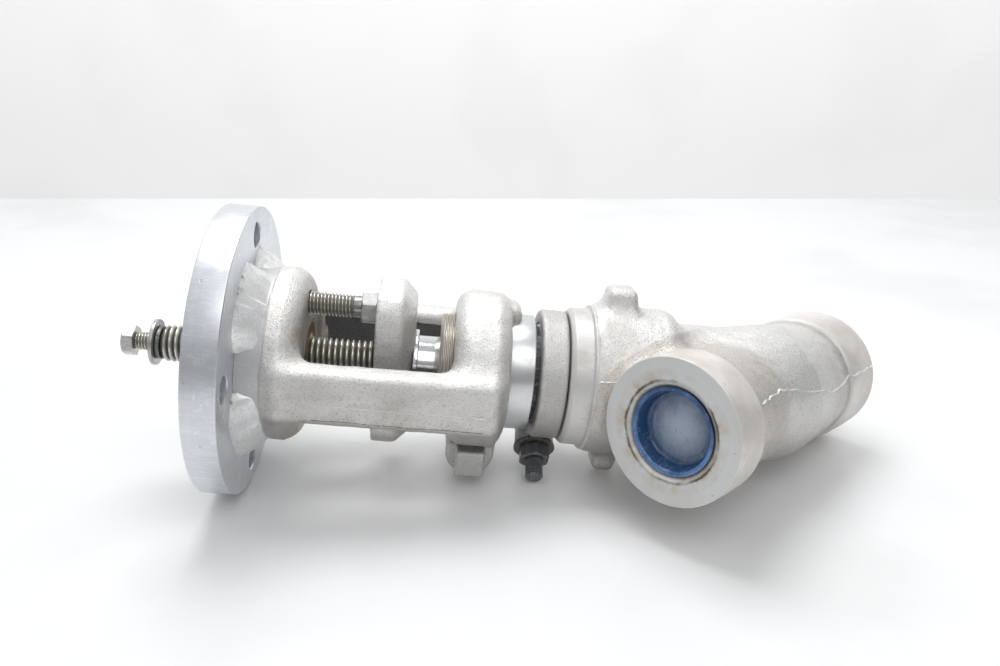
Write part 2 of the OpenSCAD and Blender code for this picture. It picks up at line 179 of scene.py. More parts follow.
def remap(tree, value, low, high, to_low=0.0, to_high=1.0):
    return put(tree, "ShaderNodeMapRange", {"clamp": True}, i0=value, i1=low, i2=high,
               i3=to_low, i4=to_high).outputs[0]


def noise(tree, vector, scale, detail=3.0, rough=0.55):
    return put(tree, "ShaderNodeTexNoise", Vector=vector, Scale=scale, Detail=detail,
               Roughness=rough).outputs["Fac"]


def mix(tree, fac, a, b, blend="MIX"):
    node = put(tree, "ShaderNodeMix", {"data_type": "RGBA", "blend_type": blend}, i0=fac,
               i6=a, i7=b)
    return node.outputs[2]


def polar(tree, vector):
    """The vector's parts, as a node, and its distance from the z axis."""
    parts = put(tree, "ShaderNodeSeparateXYZ", Vector=vector)
    flat = put(tree, "ShaderNodeCombineXYZ", X=parts.outputs[0], Y=parts.outputs[1])
    length = put(tree, "ShaderNodeVectorMath", {"operation": "LENGTH"}, i0=flat.outputs[0])
    return parts, length.outputs["Value"]


def tint(tree, colour, fac, share, target):
    """The colour turned toward the target by a share of the factor."""
    return mix(tree, mul(tree, fac, share), colour, target)


def set_shader(tree, shader, **links):
    for key, value in links.items():
        socket = shader.inputs[key.replace("_", " ")]
        if isinstance(value, bpy.types.NodeSocket):
            tree.links.new(value, socket)
        else:
            socket.default_value = value


# The room: bright overhead and behind the valve, dim behind the camera.
world = bpy.data.worlds.new("surroundings")
bpy.context.scene.world = world
world.use_nodes = True
room = world.node_tree
heading = put(room, "ShaderNodeTexCoord").outputs["Generated"]
turned = put(room, "ShaderNodeSeparateXYZ", Vector=heading).outputs
upward = remap(room, turned["Z"], -0.1, 0.75, 0.11, 0.82)
sideways = remap(room, turned["X"], -0.1, 0.9, 1.0, 0.5)
set_shader(room, room.nodes["Background"], Color=(0.93, 0.945, 0.97, 1),
           Strength=mul(room, upward, sideways))

# The table and the wall behind it stand square to the camera's heading.
SIDE_LEN = 2.4
TABLE_NEAR = -1.8
TABLE_FAR = 0.62
WALL_LOW = -0.8
WALL_TOP = 1.6
ahead = Vector((math.sin(math.radians(CAMERA_YAW)), math.cos(math.radians(CAMERA_YAW)), 0))
aside = Vector((ahead.y, -ahead.x, 0))
TABLE_Z = cad_box[0].z


def backdrop(name, corners, colour, rough, glow):
    """A flat stage piece through four corners, with a faintly uneven plaster-like colour."""
    mesh = bpy.data.meshes.new(name)
    mesh.from_pydata([tuple(c) for c in corners], [], [(0, 1, 2, 3)])
    piece = bpy.data.objects.new(name, mesh)
    bpy.context.scene.collection.objects.link(piece)
    paint = bpy.data.materials.new(name + "_paint")
    paint.use_nodes = True
    tree = paint.node_tree
    place = put(tree, "ShaderNodeTexCoord").outputs["Object"]
    spots = remap(tree, noise(tree, place, 5.0, 5.0, 0.5), 0.5, 0.62)
    darker = (colour[0] * 0.93, colour[1] * 0.93, colour[2] * 0.925, 1)
    set_shader(tree, tree.nodes["Principled BSDF"], Base_Color=mix(tree, spots, colour, darker),
               Roughness=rough, Emission_Color=colour, Emission_Strength=glow)
    mesh.materials.append(paint)


def stage_point(side, forward, height):
    return aside * side * SIDE_LEN + ahead * forward + Vector((0, 0, TABLE_Z + height))


WALL_AT = TABLE_FAR + 0.5
backdrop("table", [stage_point(-1, TABLE_NEAR, 0), stage_point(1, TABLE_NEAR, 0),
                   stage_point(1, TABLE_FAR, 0), stage_point(-1, TABLE_FAR, 0)],
         (0.86, 0.865, 0.87, 1), 0.32, 0.02)
backdrop("wall", [stage_point(-1, WALL_AT, WALL_LOW), stage_point(1, WALL_AT, WALL_LOW),
                  stage_point(1, WALL_AT, WALL_TOP), stage_point(-1, WALL_AT, WALL_TOP)],
         (0.76, 0.76, 0.755, 1), 0.8, 0.72)

# ------------------------------------------------------------------ body casting
# The body is one steel sand casting: a neck that takes the bonnet, a straight run at 45
# degrees with a socket at each end, and two bracket lugs. It is shot-blasted and coated
# with aluminium paint, and a thin flash line runs along its sides where the mould met.


def add_piece(name, points, faces, matrix, material=None, sharp=32):
    """A mesh object from points in millimetres, its normals outward, its place in its mesh."""
    mesh = bpy.data.meshes.new(name)
    mesh.from_pydata([tuple(p) for p in points], [], [tuple(f) for f in faces])
    mesh.validate()
    mesh.transform(matrix)
    return finish_piece(name, mesh, material, sharp)


def finish_piece(name, mesh, material=None, sharp=32):
    """Outward normals, smooth shading with creases, and an object at the origin."""
    work = bmesh.new()
    work.from_mesh(mesh)
    bmesh.ops.remove_doubles(work, verts=work.verts, dist=0.002 * MM)
    loose = [edge for edge in work.edges if not edge.link_faces]
    bmesh.ops.delete(work, geom=loose, context="EDGES")
    bmesh.ops.recalc_face_normals(work, faces=work.faces)
    if work.calc_volume(signed=True) < 0:
        bmesh.ops.reverse_faces(work, faces=work.faces)
    work.to_mesh(mesh)
    work.free()
    mesh.shade_smooth()
    mesh.set_sharp_from_angle(angle=math.radians(sharp))
    piece = bpy.data.objects.new(name, mesh)
    bpy.context.scene.collection.objects.link(piece)
    if material:
        mesh.materials.append(material)
    return piece


def mount(piece, node, body, slot):
    """Hide the CAD node that a piece stands for and put the piece under its body; the slot is not
    used.
    """
    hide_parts(node)
    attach(piece, body)


def sleeve(inner, outer, low, high):
    """The outline of a plain sleeve, or of a plain bar where the inner radius is 0."""
    return [(inner, low), (outer, low), (outer, high), (inner, high)]


def blend_min(a, b, k):
    """The union of two distance fields with a fillet of about k."""
    h = np.clip(0.5 + 0.5 * (b - a) / k, 0, 1)
    return b * (1 - h) + a * h - k * h * (1 - h)


def blend_max(a, b, k):
    """The intersection of two distance fields with a rounded edge of about k."""
    return -blend_min(-a, -b, k)


def slab(v, low, high):
    return np.maximum(low - v, v - high)


def cut_away(solid, *hollows):
    """What is left of a solid after each of the hollows is cut out of it."""
    return np.maximum(solid, -np.minimum.reduce(hollows))


def round_box(x, y, z, half, r):
    """Distance to a box of the given half sizes, its edges rounded by r."""
    qx, qy, qz = (np.abs(v) - (h - r) for v, h in zip((x, y, z), half))
    outside = np.sqrt(np.maximum(qx, 0) ** 2 + np.maximum(qy, 0) ** 2 + np.maximum(qz, 0) ** 2)
    return outside + np.minimum(np.maximum(qx, np.maximum(qy, qz)), 0) - r


def value_noise(x, y, z, size, seed):
    """Smooth noise in -1..1 with features about the given size."""
    grid = np.random.default_rng(seed).uniform(-1, 1, (32, 32, 32))
    cells, parts = [], []
    for v in (x, y, z):
        u = v / size + 1000.0
        i = np.floor(u).astype(int)
        f = u - i
        cells.append(i % 32)
        parts.append(f * f * (3 - 2 * f))
    total = 0
    for dx in (0, 1):
        for dy in (0, 1):
            for dz in (0, 1):
                weight = 1
                for d, f in zip((dx, dy, dz), parts):
                    weight = weight * (f if d else 1 - f)
                i, j, k = ((c + d) % 32 for c, d in zip(cells, (dx, dy, dz)))
                total = total + weight * grid[i, j, k]
    return total


def cast_skin(field, low, high, step):
    """Closed mesh of the surface where a distance field is zero, on a grid of the given step."""
    axes = [np.arange(a - 2 * step, b + 3 * step, step) for a, b in zip(low, high)]
    values = field(*np.meshgrid(*axes, indexing="ij", sparse=False))
    inside = values < 0
    n = values.shape
    cell = tuple(m - 1 for m in n)
    total = np.zeros(cell + (3,))
    count = np.zeros(cell)
    corners = [(i, j, k) for i in (0, 1) for j in (0, 1) for k in (0, 1)]
    window = {c: tuple(slice(c[a], c[a] + cell[a]) for a in range(3)) for c in corners}
    for c in corners:
        for axis in range(3):
            if c[axis]:
                continue
            d = tuple(1 if a == axis else c[a] for a in range(3))
            va, vb = values[window[c]], values[window[d]]
            crossing = (va < 0) != (vb < 0)
            t = np.where(crossing, va / np.where(crossing, va - vb, 1), 0)
            for a in range(3):
                place = c[a] + (t if a == axis else 0)
                total[..., a] += np.where(crossing, place, 0)
            count += crossing
    used = count > 0
    index = np.full(cell, -1)
    index[used] = np.arange(used.sum())
    base = np.argwhere(used)
    points = (base + total[used] / count[used][:, None]) * step + np.array([a[0] for a in axes])
    faces = []
    for axis in range(3):
        o1, o2 = [a for a in range(3) if a != axis]
        here = [slice(None)] * 3
        there = [slice(None)] * 3
        here[axis] = slice(0, n[axis] - 1)
        there[axis] = slice(1, n[axis])
        cross = inside[tuple(here)] != inside[tuple(there)]
        where = np.argwhere(cross)
        keep = (where[:, o1] > 0) & (where[:, o2] > 0)
        keep &= (where[:, o1] < cell[o1]) & (where[:, o2] < cell[o2])
        where = where[keep]
        quad = []
        for s1, s2 in ((0, 0), (1, 0), (1, 1), (0, 1)):
            at = where.copy()
            at[:, o1] -= s1
            at[:, o2] -= s2
            quad.append(index[at[:, 0], at[:, 1], at[:, 2]])
        quad = np.stack(quad, 1)
        flip = inside[tuple(where.T)] ^ (axis == 1)
        quad[flip] = quad[flip][:, ::-1]
        faces.append(quad)
    for _ in range(3):
        p = points.T
        f = field(*p)
        eps = 0.05
        slope = np.stack([
            (field(*(p + eps * e[:, None])) - field(*(p - eps * e[:, None]))) / (2 * eps)
            for e in np.eye(3)
        ], 1)
        size = np.maximum((slope ** 2).sum(1), 0.25)
        move = -slope * (f / size)[:, None]
        length = np.linalg.norm(move, axis=1, keepdims=True)
        points = points + move * np.minimum(1, 0.4 * step / np.maximum(length, 1e-9))
    normal = slope / np.maximum(np.linalg.norm(slope, axis=1, keepdims=True), 1e-9)
    # shelter: how enclosed each point is; the paint uses it for painted shade in the hollows.
    shelter = np.zeros(len(points))
    for reach in (2.5, 6, 14):
        probe = (points + normal * reach).T
        shelter += np.clip(1 - field(*probe) / reach, 0, 1) / 3
    return points, np.concatenate(faces), shelter


def cast_piece(name, field, low, high, step, matrix, material, marks=None):
    """A casting from its distance field, with a 'shelter' attribute for its hollows, where the
    paint takes painted shade and some grime.
    """
    points, faces, shelter = cast_skin(field, low, high, step)
    mesh = bpy.data.meshes.new(name)
    mesh.from_pydata(points.tolist(), [], faces.tolist())
    mesh.transform(matrix)
    work = bmesh.new()
    work.from_mesh(mesh)
    if work.calc_volume(signed=True) < 0:
        bmesh.ops.reverse_faces(work, faces=work.faces)
        work.to_mesh(mesh)
    work.free()
    upright = np.zeros(3 * len(mesh.vertices))
    mesh.vertex_normals.foreach_get("vector", upright)
    # 'under' marks faces turned down; the paint darkens them as painted shade.
    values = {"shelter": shelter, "under": np.clip(0.35 - 1.2 * upright[2::3], 0, 1) * 0.9}
    for label, value in (marks(*points.T) if marks else {}).items():
        values[label] = np.maximum(values.get(label, 0), value)
    for label, value in values.items():
        layer = mesh.attributes.new(label, "FLOAT", "POINT")
        layer.data.foreach_set("value", np.asarray(value, float))
    mesh.shade_smooth()
    mesh.set_sharp_from_angle(angle=math.radians(55))
    mesh.materials.append(material)
    piece = bpy.data.objects.new(name, mesh)
    bpy.context.scene.collection.objects.link(piece)
    return piece


def lathe(name, profile, matrix, material, segments=128, sharp=28):
    """A turned piece: a closed outline of (radius, station) points swept about the z axis."""
    points, faces = [], []
    rows = len(profile)
    for i in range(segments):
        angle = 2 * math.pi * i / segments
        for r, z in profile:
            points.append((r * math.cos(angle), r * math.sin(angle), z))
    for i in range(segments):
        j = (i + 1) % segments
        for k in range(rows):
            m = (k + 1) % rows
            if profile[k][0] < 1e-6 and profile[m][0] < 1e-6:
                continue
            faces.append((i * rows + k, j * rows + k, j * rows + m, i * rows + m))
    return add_piece(name, points, faces, matrix, material, sharp)


def eased(profile, radius=0.5, steps=3):
    """The same closed outline with its corners rounded, those on the axis left alone."""
    out = []
    n = len(profile)
    for i, (r, z) in enumerate(profile):
        before = np.array(profile[i - 1])
        here = np.array((r, z))
        after = np.array(profile[(i + 1) % n])
        to_before, to_after = before - here, after - here
        la, lb = np.linalg.norm(to_before), np.linalg.norm(to_after)
        if r < 1e-6 or la < 1e-6 or lb < 1e-6:
            out.append((r, z))
            continue
        cut = min(radius, 0.45 * la, 0.45 * lb)
        a = here + to_before / la * cut
        b = here + to_after / lb * cut
        for s in range(steps + 1):
            t = s / steps
            p = (1 - t) ** 2 * a + 2 * t * (1 - t) * here + t ** 2 * b
            out.append((float(p[0]), float(p[1])))
    return out


# Shader effects shared by the metals: each is one group of nodes that is placed in the
# materials with its own values.
def new_group(name, inputs, outputs):
    group = bpy.data.node_groups.new(name, "ShaderNodeTree")
    for label, kind, value in inputs:
        socket = group.interface.new_socket(label, in_out="INPUT", socket_type=kind)
        if value is not None:
            socket.default_value = value
    for label, kind in outputs:
        group.interface.new_socket(label, in_out="OUTPUT", socket_type=kind)
    return group, group.nodes.new("NodeGroupInput"), group.nodes.new("NodeGroupOutput")


# patches: blotches whose size, share of the surface and edge softness are set
patches, g_in, g_out = new_group(
    "patches",
    [("Vector", "NodeSocketVector", None), ("Scale", "NodeSocketFloat", 40.0),
     ("Share", "NodeSocketFloat", 0.4), ("Softness", "NodeSocketFloat", 0.1)],
    [("Mask", "NodeSocketFloat")],
)
field_noise = noise(patches, g_in.outputs["Vector"], g_in.outputs["Scale"], 6.0, 0.62)
limit = sub(patches, 0.72, mul(patches, g_in.outputs["Share"], 0.44))
upper = add(patches, limit, g_in.outputs["Softness"])
patches.links.new(remap(patches, field_noise, limit, upper), g_out.inputs["Mask"])

# sand_grain: the pebbled skin of a sand casting, as a height and as a mask of its pits
sand_grain, g_in, g_out = new_group(
    "sand_grain",
    [("Vector", "NodeSocketVector", None), ("Scale", "NodeSocketFloat", 900.0)],
    [("Height", "NodeSocketFloat"), ("Pits", "NodeSocketFloat")],
)
fine = noise(sand_grain, g_in.outputs["Vector"], g_in.outputs["Scale"], 2.0, 0.6)
coarse = noise(sand_grain, g_in.outputs["Vector"],
               mul(sand_grain, g_in.outputs["Scale"], 0.3), 3.0, 0.6)
both = add(sand_grain, mul(sand_grain, fine, 0.75),
             mul(sand_grain, coarse, 0.15))
sand_grain.links.new(both, g_out.inputs["Height"])
sand_grain.links.new(remap(sand_grain, fine, 0.47, 0.30), g_out.inputs["Pits"])

# lathe_marks: fine rings about the z axis of the vector, with a little unevenness
lathe_marks, g_in, g_out = new_group(
    "lathe_marks",
    [("Vector", "NodeSocketVector", None), ("Rings", "NodeSocketFloat", 2500.0)],
    [("Height", "NodeSocketFloat")],
)
parts, radius = polar(lathe_marks, g_in.outputs["Vector"])
ring_place = put(lathe_marks, "ShaderNodeCombineXYZ", X=radius, Y=parts.outputs[2])
lathe_marks.links.new(noise(lathe_marks, ring_place.outputs[0], g_in.outputs["Rings"], 2.0, 0.6),
                      g_out.inputs["Height"])

# scuffs: thin scratches in one direction, as a mask
scuffs, g_in, g_out = new_group(
    "scuffs",
    [("Vector", "NodeSocketVector", None), ("Scale", "NodeSocketFloat", 60.0),
     ("Stretch", "NodeSocketVector", (1.0, 12.0, 1.0))],
    [("Mask", "NodeSocketFloat")],
)
stretched = put(scuffs, "ShaderNodeVectorMath", {"operation": "MULTIPLY"},
                i0=g_in.outputs["Vector"], i1=g_in.outputs["Stretch"]).outputs[0]
line_noise = noise(scuffs, stretched, g_in.outputs["Scale"], 5.0, 0.7)
scuffs.links.new(remap(scuffs, maths(scuffs, "ABSOLUTE", sub(scuffs, line_noise, 0.5)),
                       0.02, 0.0), g_out.inputs["Mask"])


def group_node(tree, group, **links):
    return put(tree, "ShaderNodeGroup", {"node_tree": group}, **links)


def blotches(tree, place, scale, share, softness):
    return group_node(tree, patches, Vector=place, Scale=scale, Share=share,
                      Softness=softness).outputs[0]


def scratches(tree, place, scale, stretch=(1.0, 12.0, 1.0)):
    return group_node(tree, scuffs, Vector=place, Scale=scale, Stretch=stretch).outputs[0]


def start_material(name, turn=None):
    """A new material, its tree, its shader and object coordinates, turned to a frame if given."""
    material = bpy.data.materials.new(name)
    material.use_nodes = True
    tree = material.node_tree
    place = put(tree, "ShaderNodeTexCoord").outputs["Object"]
    if turn is not None:
        inverse = turn.inverted()
        mapping = put(tree, "ShaderNodeMapping", Vector=place)
        mapping.inputs["Location"].default_value = inverse.to_translation() * MM
        mapping.inputs["Rotation"].default_value = inverse.to_euler()
        place = mapping.outputs[0]
    return material, tree, tree.nodes["Principled BSDF"], place


def bump(tree, height, distance, strength=1.0):
    return put(tree, "ShaderNodeBump", Height=height, Distance=distance,
               Strength=strength).outputs[0]


def cast_paint(name, bright, dirt_share, seed):
    """Aluminium paint on a sand casting: bright grain, dust, and in the hollows a dark brown
    painted shade with some grime.

    The attributes 'bare', 'rusty' and 'film' show where the casting is bare, where rust
    creeps and where a beige film lies; 'under' shows what faces down, darkened as painted shade.
    """
    material, tree, shader, place = start_material(name)
    place = put(tree, "ShaderNodeVectorMath", {"operation": "ADD"}, i0=place,
                i1=(seed, seed * 0.7, seed * 1.3)).outputs[0]
    grain = group_node(tree, sand_grain, Vector=place, Scale=1500.0)
    shelter, under, bare, rusty, film = (
        put(tree, "ShaderNodeAttribute", {"attribute_name": label}).outputs["Fac"]
        for label in ("shelter", "under", "bare", "rusty", "film"))
    dust = blotches(tree, place, 26.0, dirt_share, 0.3)
    fine_dust = blotches(tree, place, 150.0, 0.45, 0.25)
    specks = blotches(tree, place, 480.0, 0.04, 0.05)
    rust = blotches(tree, place, 75.0, 0.02, 0.08)
    colour = tint(tree, bright, dust, 0.6, (0.52, 0.485, 0.445, 1))
    colour = tint(tree, colour, fine_dust, 0.12, (0.40, 0.36, 0.33, 1))
    beige = mul(tree, film, remap(tree, dust, 0, 1, 0.7, 0.95))
    sand = mix(tree, fine_dust, (0.60, 0.56, 0.515, 1), (0.46, 0.41, 0.37, 1))
    colour = mix(tree, beige, colour, sand)
    pits = mul(tree, grain.outputs["Pits"], 0.5)
    colour = mix(tree, pits, colour, (0.20, 0.185, 0.17, 1))
    colour = tint(tree, colour, specks, 0.6, (0.09, 0.075, 0.06, 1))
    # Painted shade: faces turned down are darkened toward brown, more where dust lies.
    underside_shade = mul(tree, under, remap(tree, dust, 0, 1, 0.55, 0.85))
    colour = mix(tree, underside_shade, colour, (0.22, 0.19, 0.16, 1))
    colour = tint(tree, colour, rust, 0.5, (0.33, 0.17, 0.07, 1))
    creep = mul(tree, rusty, add(tree, fine_dust, specks), True)
    colour = tint(tree, colour, creep, 0.8, (0.36, 0.25, 0.08, 1))
    # Painted shade: the sheltered hollows are darkened to a near-black brown, with a little grime
    # mixed in through the dust.
    hollow_shade_and_grime = remap(tree, add(tree, shelter,
                              mul(tree, fine_dust, 0.12)), 0.34, 0.74)
    colour = tint(tree, colour, hollow_shade_and_grime, 0.88, (0.075, 0.062, 0.05, 1))
    iron = mix(tree, grain.outputs["Pits"], (0.115, 0.115, 0.118, 1), (0.03, 0.03, 0.03, 1))
    bared = remap(tree, add(tree, bare, mul(tree, fine_dust, 0.2)), 0.45, 0.6)
    colour = mix(tree, bared, colour, iron)
    rough = remap(tree, dust, 0, 1, 0.40, 0.62)
    dull = most(tree, most(tree, dust, hollow_shade_and_grime), bared)
    metal = sub(tree, 0.62, mul(tree, dull, 0.42))
    set_shader(tree, shader, Base_Color=colour, Roughness=rough, Metallic=metal,
               Normal=bump(tree, grain.outputs["Height"], 0.00042, 1.0))
    return material


FRONT_COLLAR = 20.0
REAR_COLLAR = 27.0
SOCKET_R = MOUNTS["inlet_socket"]["dims"]["r_mm"]
FLOW_R = 11.0
REAR_LEN = -span("body", RUN)[0]
PORT_R = 30.0
Z_BODY = span("body", VALVE)[0]
Z_NECK = Z_BODY + 13.0
NECK_R = 33.0
BONNET_R = 22.05
LUG_Z = Z_NECK + 9.3
LUG_HALF = (8.4, 8.5, 7.5)
LUG_REACH = NECK_R + 9.8
FLASH_X = -9.0
DIAGONAL = math.sqrt(0.5)

# radius of the run against the distance from the crossing, toward the front port
RUN_T = [-REAR_LEN, -REAR_LEN + REAR_COLLAR + 4, -12, 8, 30, FRONT_LEN - 24, FRONT_LEN - 18]
RUN_R = [28.4, 28.6, 28.8, 29.8, 25.8, 26.8, 28.2]


def run_place(y, z):
    """How far a point lies along the run and beside it, in the plane of the ports."""
    return (-y - (z - Z_CROSS)) * DIAGONAL, (y - (z - Z_CROSS)) * DIAGONAL


def body_field(x, y, z):
    """Distance to the body casting, in the valve's frame."""
    r = np.hypot(x, y)
    neck = blend_max(r - NECK_R, slab(z, Z_BODY + 10.6, Z_NECK + 33), 5)
    neck = np.maximum(neck, Z_BODY + 10.8 - z)
    barrel = np.maximum(r - 27.5, slab(z, Z_NECK, Z_CROSS))
    outer = blend_min(neck, barrel, 9)
    along, across = run_place(y, z)
    run_r = np.hypot(x, across)
    run = (run_r - np.interp(along, RUN_T, RUN_R)) * 0.97
    run = blend_max(run, slab(along, -REAR_LEN + 2.0, FRONT_LEN - 14), 3)
    outer = blend_min(outer, run, 8)
    for side in (-1, 1):
        centre = side * (LUG_REACH - LUG_HALF[0])
        stretch = 1 + 0.02 * (side * x - NECK_R)
        lean = 1.6 if side > 0 else 0.0
        lug = round_box(x - centre, y * stretch, (z - LUG_Z - lean) * stretch,
                        (LUG_HALF[0], LUG_HALF[1], LUG_HALF[2] - lean), 3.4)
        outer = blend_min(outer, lug, 5)
    outer = outer + 0.22 * value_noise(x, y, z, 5.5, 1) + 0.10 * value_noise(x, y, z, 2.1, 2)
    bore = np.maximum(r - BONNET_R - 0.3, z - (Z_BODY + 30))
    chamber = np.maximum(r - 17, slab(z, Z_BODY, Z_CROSS - 9.3))
    seat_way = np.maximum(r - 8.1, slab(z, Z_CROSS - 12, Z_CROSS + 14))
    flow_out = np.maximum(run_r - FLOW_R, 14 - along)
    flow_in = np.maximum(run_r - FLOW_R, along + 10)
    past_stop = np.minimum(FRONT_LEN - 16.5 - along, along + REAR_LEN - 13.5)
    ends = np.maximum(run_r - SOCKET_R - 2, past_stop)
    return cut_away(outer, bore, chamber, seat_way, flow_out, flow_in, ends)


def body_marks(x, y, z):
    """A beige film on the front branch, rust specks on the top lug and by the neck ring."""
    along, across = run_place(y, z)
    near = np.hypot(x, across) < 37
    wander = 5 * value_noise(x, y, z, 9.0, 71) + 2 * value_noise(x, y, z, 2.5, 72)
    film = np.clip((along - 29 + wander) / 6, 0, 1) * near
    rear = np.clip((-along - REAR_LEN + REAR_COLLAR + 8 + wander) / 3, 0, 1)
    film = np.maximum(film, rear * near)
    spot = np.clip(value_noise(x, y, z, 5.0, 73) * 2 - 0.5, 0, 1)
    rusty = spot * (np.clip(1 - np.abs(z - Z_BODY - 14) / 9, 0, 1) + 0.8 * (x < -NECK_R - 1))
    return {"film": film, "rusty": np.clip(rusty, 0, 1)}


STEP = 1.0
body_paint = cast_paint("body_paint", (0.80, 0.79, 0.775, 1), 0.5, 0.31)
body_low_corner = (-LUG_REACH - 2, -62, Z_BODY + 9)
body_high_corner = (LUG_REACH + 2, 62, Z_CROSS + 62)
body_casting = cast_piece("body_casting", body_field, body_low_corner, body_high_corner,
                          STEP, VALVE, body_paint, body_marks)
mount(body_casting, "body", "valve", "cast_paint")


def surface_at(field, start, step, count=400):
    """The first point inside a field on a straight walk from each start, and its normal."""
    at = np.array(start, float)
    for _ in range(count):
        out = field(*at.T) > 0
        at[out] += np.array(step)
    normal = np.stack([field(*(at + d).T) - field(*(at - d).T) for d in np.eye(3) * 0.6], -1)
    return at, normal / np.linalg.norm(normal, axis=1)[:, None]


def ridge_strip(name, points, normals, half_width, height, matrix, material, seed):
    """A thin raised seam of uneven height along a line on a casting."""
    rng = np.random.default_rng(seed)
    along = np.gradient(points, axis=0)
    side = np.cross(along, normals)
    side = side / np.linalg.norm(side, axis=1)[:, None]
    count = len(points)
    wide = half_width * rng.uniform(0.7, 1.3, count)[:, None]
    tall = height * rng.uniform(0.55, 1.25, count)[:, None]
    tall[0] = tall[-1] = 0.02
    root = points - normals * 0.5
    crest = points + normals * tall + side * wide * 0.2
    rows = np.stack([root - side * wide, crest, root + side * wide], 1)
    faces = [(3 * i + k, 3 * i + 3 + k, 3 * i + 3 + (k + 1) % 3, 3 * i + (k + 1) % 3)
             for i in range(count - 1) for k in range(3)]
    faces += [(0, 1, 2), (3 * count - 1, 3 * count - 2, 3 * count - 3)]
    return add_piece(name, rows.reshape(-1, 3), faces, matrix, material, 20)


def machined(name, colour, turn, rough=0.32, rings=1800.0, ring_depth=0.00003, dirt=0.3,
             dirt_colour=(0.30, 0.27, 0.24, 1), metal=0.85, rust_share=0.0):
    """Turned or milled steel: ring marks, scuffs, thin dirt and rust."""
    material, tree, shader, place = start_material(name, turn)
    marks = group_node(tree, lathe_marks, Vector=place, Rings=rings)
    dirt_mask = blotches(tree, place, 70.0, dirt, 0.2)
    fine_mask = blotches(tree, place, 420.0, 0.3, 0.12)
    scuff = scratches(tree, place, 45.0)
    value = mix(tree, mul(tree, marks.outputs[0], 0.25), colour,
                (colour[0] * 0.6, colour[1] * 0.6, colour[2] * 0.62, 1))
    value = mix(tree, mul(tree, dirt_mask, 0.55), value, dirt_colour)
    value = mix(tree, mul(tree, fine_mask, 0.2), value, dirt_colour)
    if rust_share:
        rust = blotches(tree, place, 55.0, rust_share, 0.12)
        speck = blotches(tree, place, 260.0, rust_share, 0.1)
        rust = most(tree, rust, mul(tree, speck, 0.7))
        value = tint(tree, value, rust, 0.6, (0.38, 0.21, 0.09, 1))
    value = tint(tree, value, scuff, 0.25, (0.85, 0.86, 0.87, 1))
    roughness = add(tree, rough, mul(tree, dirt_mask, 0.25))
    metallic = sub(tree, metal, mul(tree, dirt_mask, metal * 0.6))
    set_shader(tree, shader, Base_Color=value, Roughness=roughness, Metallic=metallic,
               Normal=bump(tree, marks.outputs[0], ring_depth))
    return material


def fixing_steel(name, colour, turn, dirt, rust, rough):
    return machined(name, colour, turn, rough=rough, rings=2600.0, ring_depth=0.00002, dirt=dirt,
                    dirt_colour=(0.10, 0.095, 0.085, 1), metal=0.8, rust_share=rust)


flash_steel = fixing_steel("flash_steel", (0.86, 0.85, 0.83, 1), None, 0.3, 0.03, 0.35)
s_neck = np.arange(Z_BODY + 11.8, Z_BODY + 34, 0.8)
wander = value_noise(s_neck, s_neck * 0, s_neck * 0, 4.0, 8)
start = np.stack([FLASH_X + 0.35 * wander, np.full_like(s_neck, -48.0), s_neck], 1)
seam, seam_normal = surface_at(body_field, start, (0, 0.1, 0))
neck_seam = ridge_strip("neck_seam", seam, seam_normal, 0.55, 0.75, VALVE, flash_steel, 91)
t_run = np.arange(58.0, -REAR_LEN + 1.0, -0.8)
wander = value_noise(t_run, t_run * 0, t_run * 0, 3.2, 9)
rise = np.interp(-t_run, [-57, -37, -20, -9, 4, 16, 27, 50],
                 [-13.9, -15.1, -12.1, -10.8, -8.0, -7.6, -10.4, -11.2])
far = 46.0
start = np.stack([rise + 0.45 * wander, -(far + t_run) * DIAGONAL,
                  Z_CROSS + (far - t_run) * DIAGONAL], 1)
inward = (0, 0.1 * DIAGONAL, -0.1 * DIAGONAL)


def rear_field(x, y, z):
    """The casting and its rear collar together."""
    along, across = run_place(y, z)
    collar = np.maximum(np.hypot(x, across) - PORT_R - 0.1, along + REAR_LEN - REAR_COLLAR)
    return np.minimum(body_field(x, y, z), collar)


seam, seam_normal = surface_at(rear_field, start, inward)
run_seam = ridge_strip("run_seam", seam, seam_normal, 0.6, 0.85, VALVE, flash_steel, 92)
for piece in (neck_seam, run_seam):
    mount(piece, "body", "valve", "cast_paint")

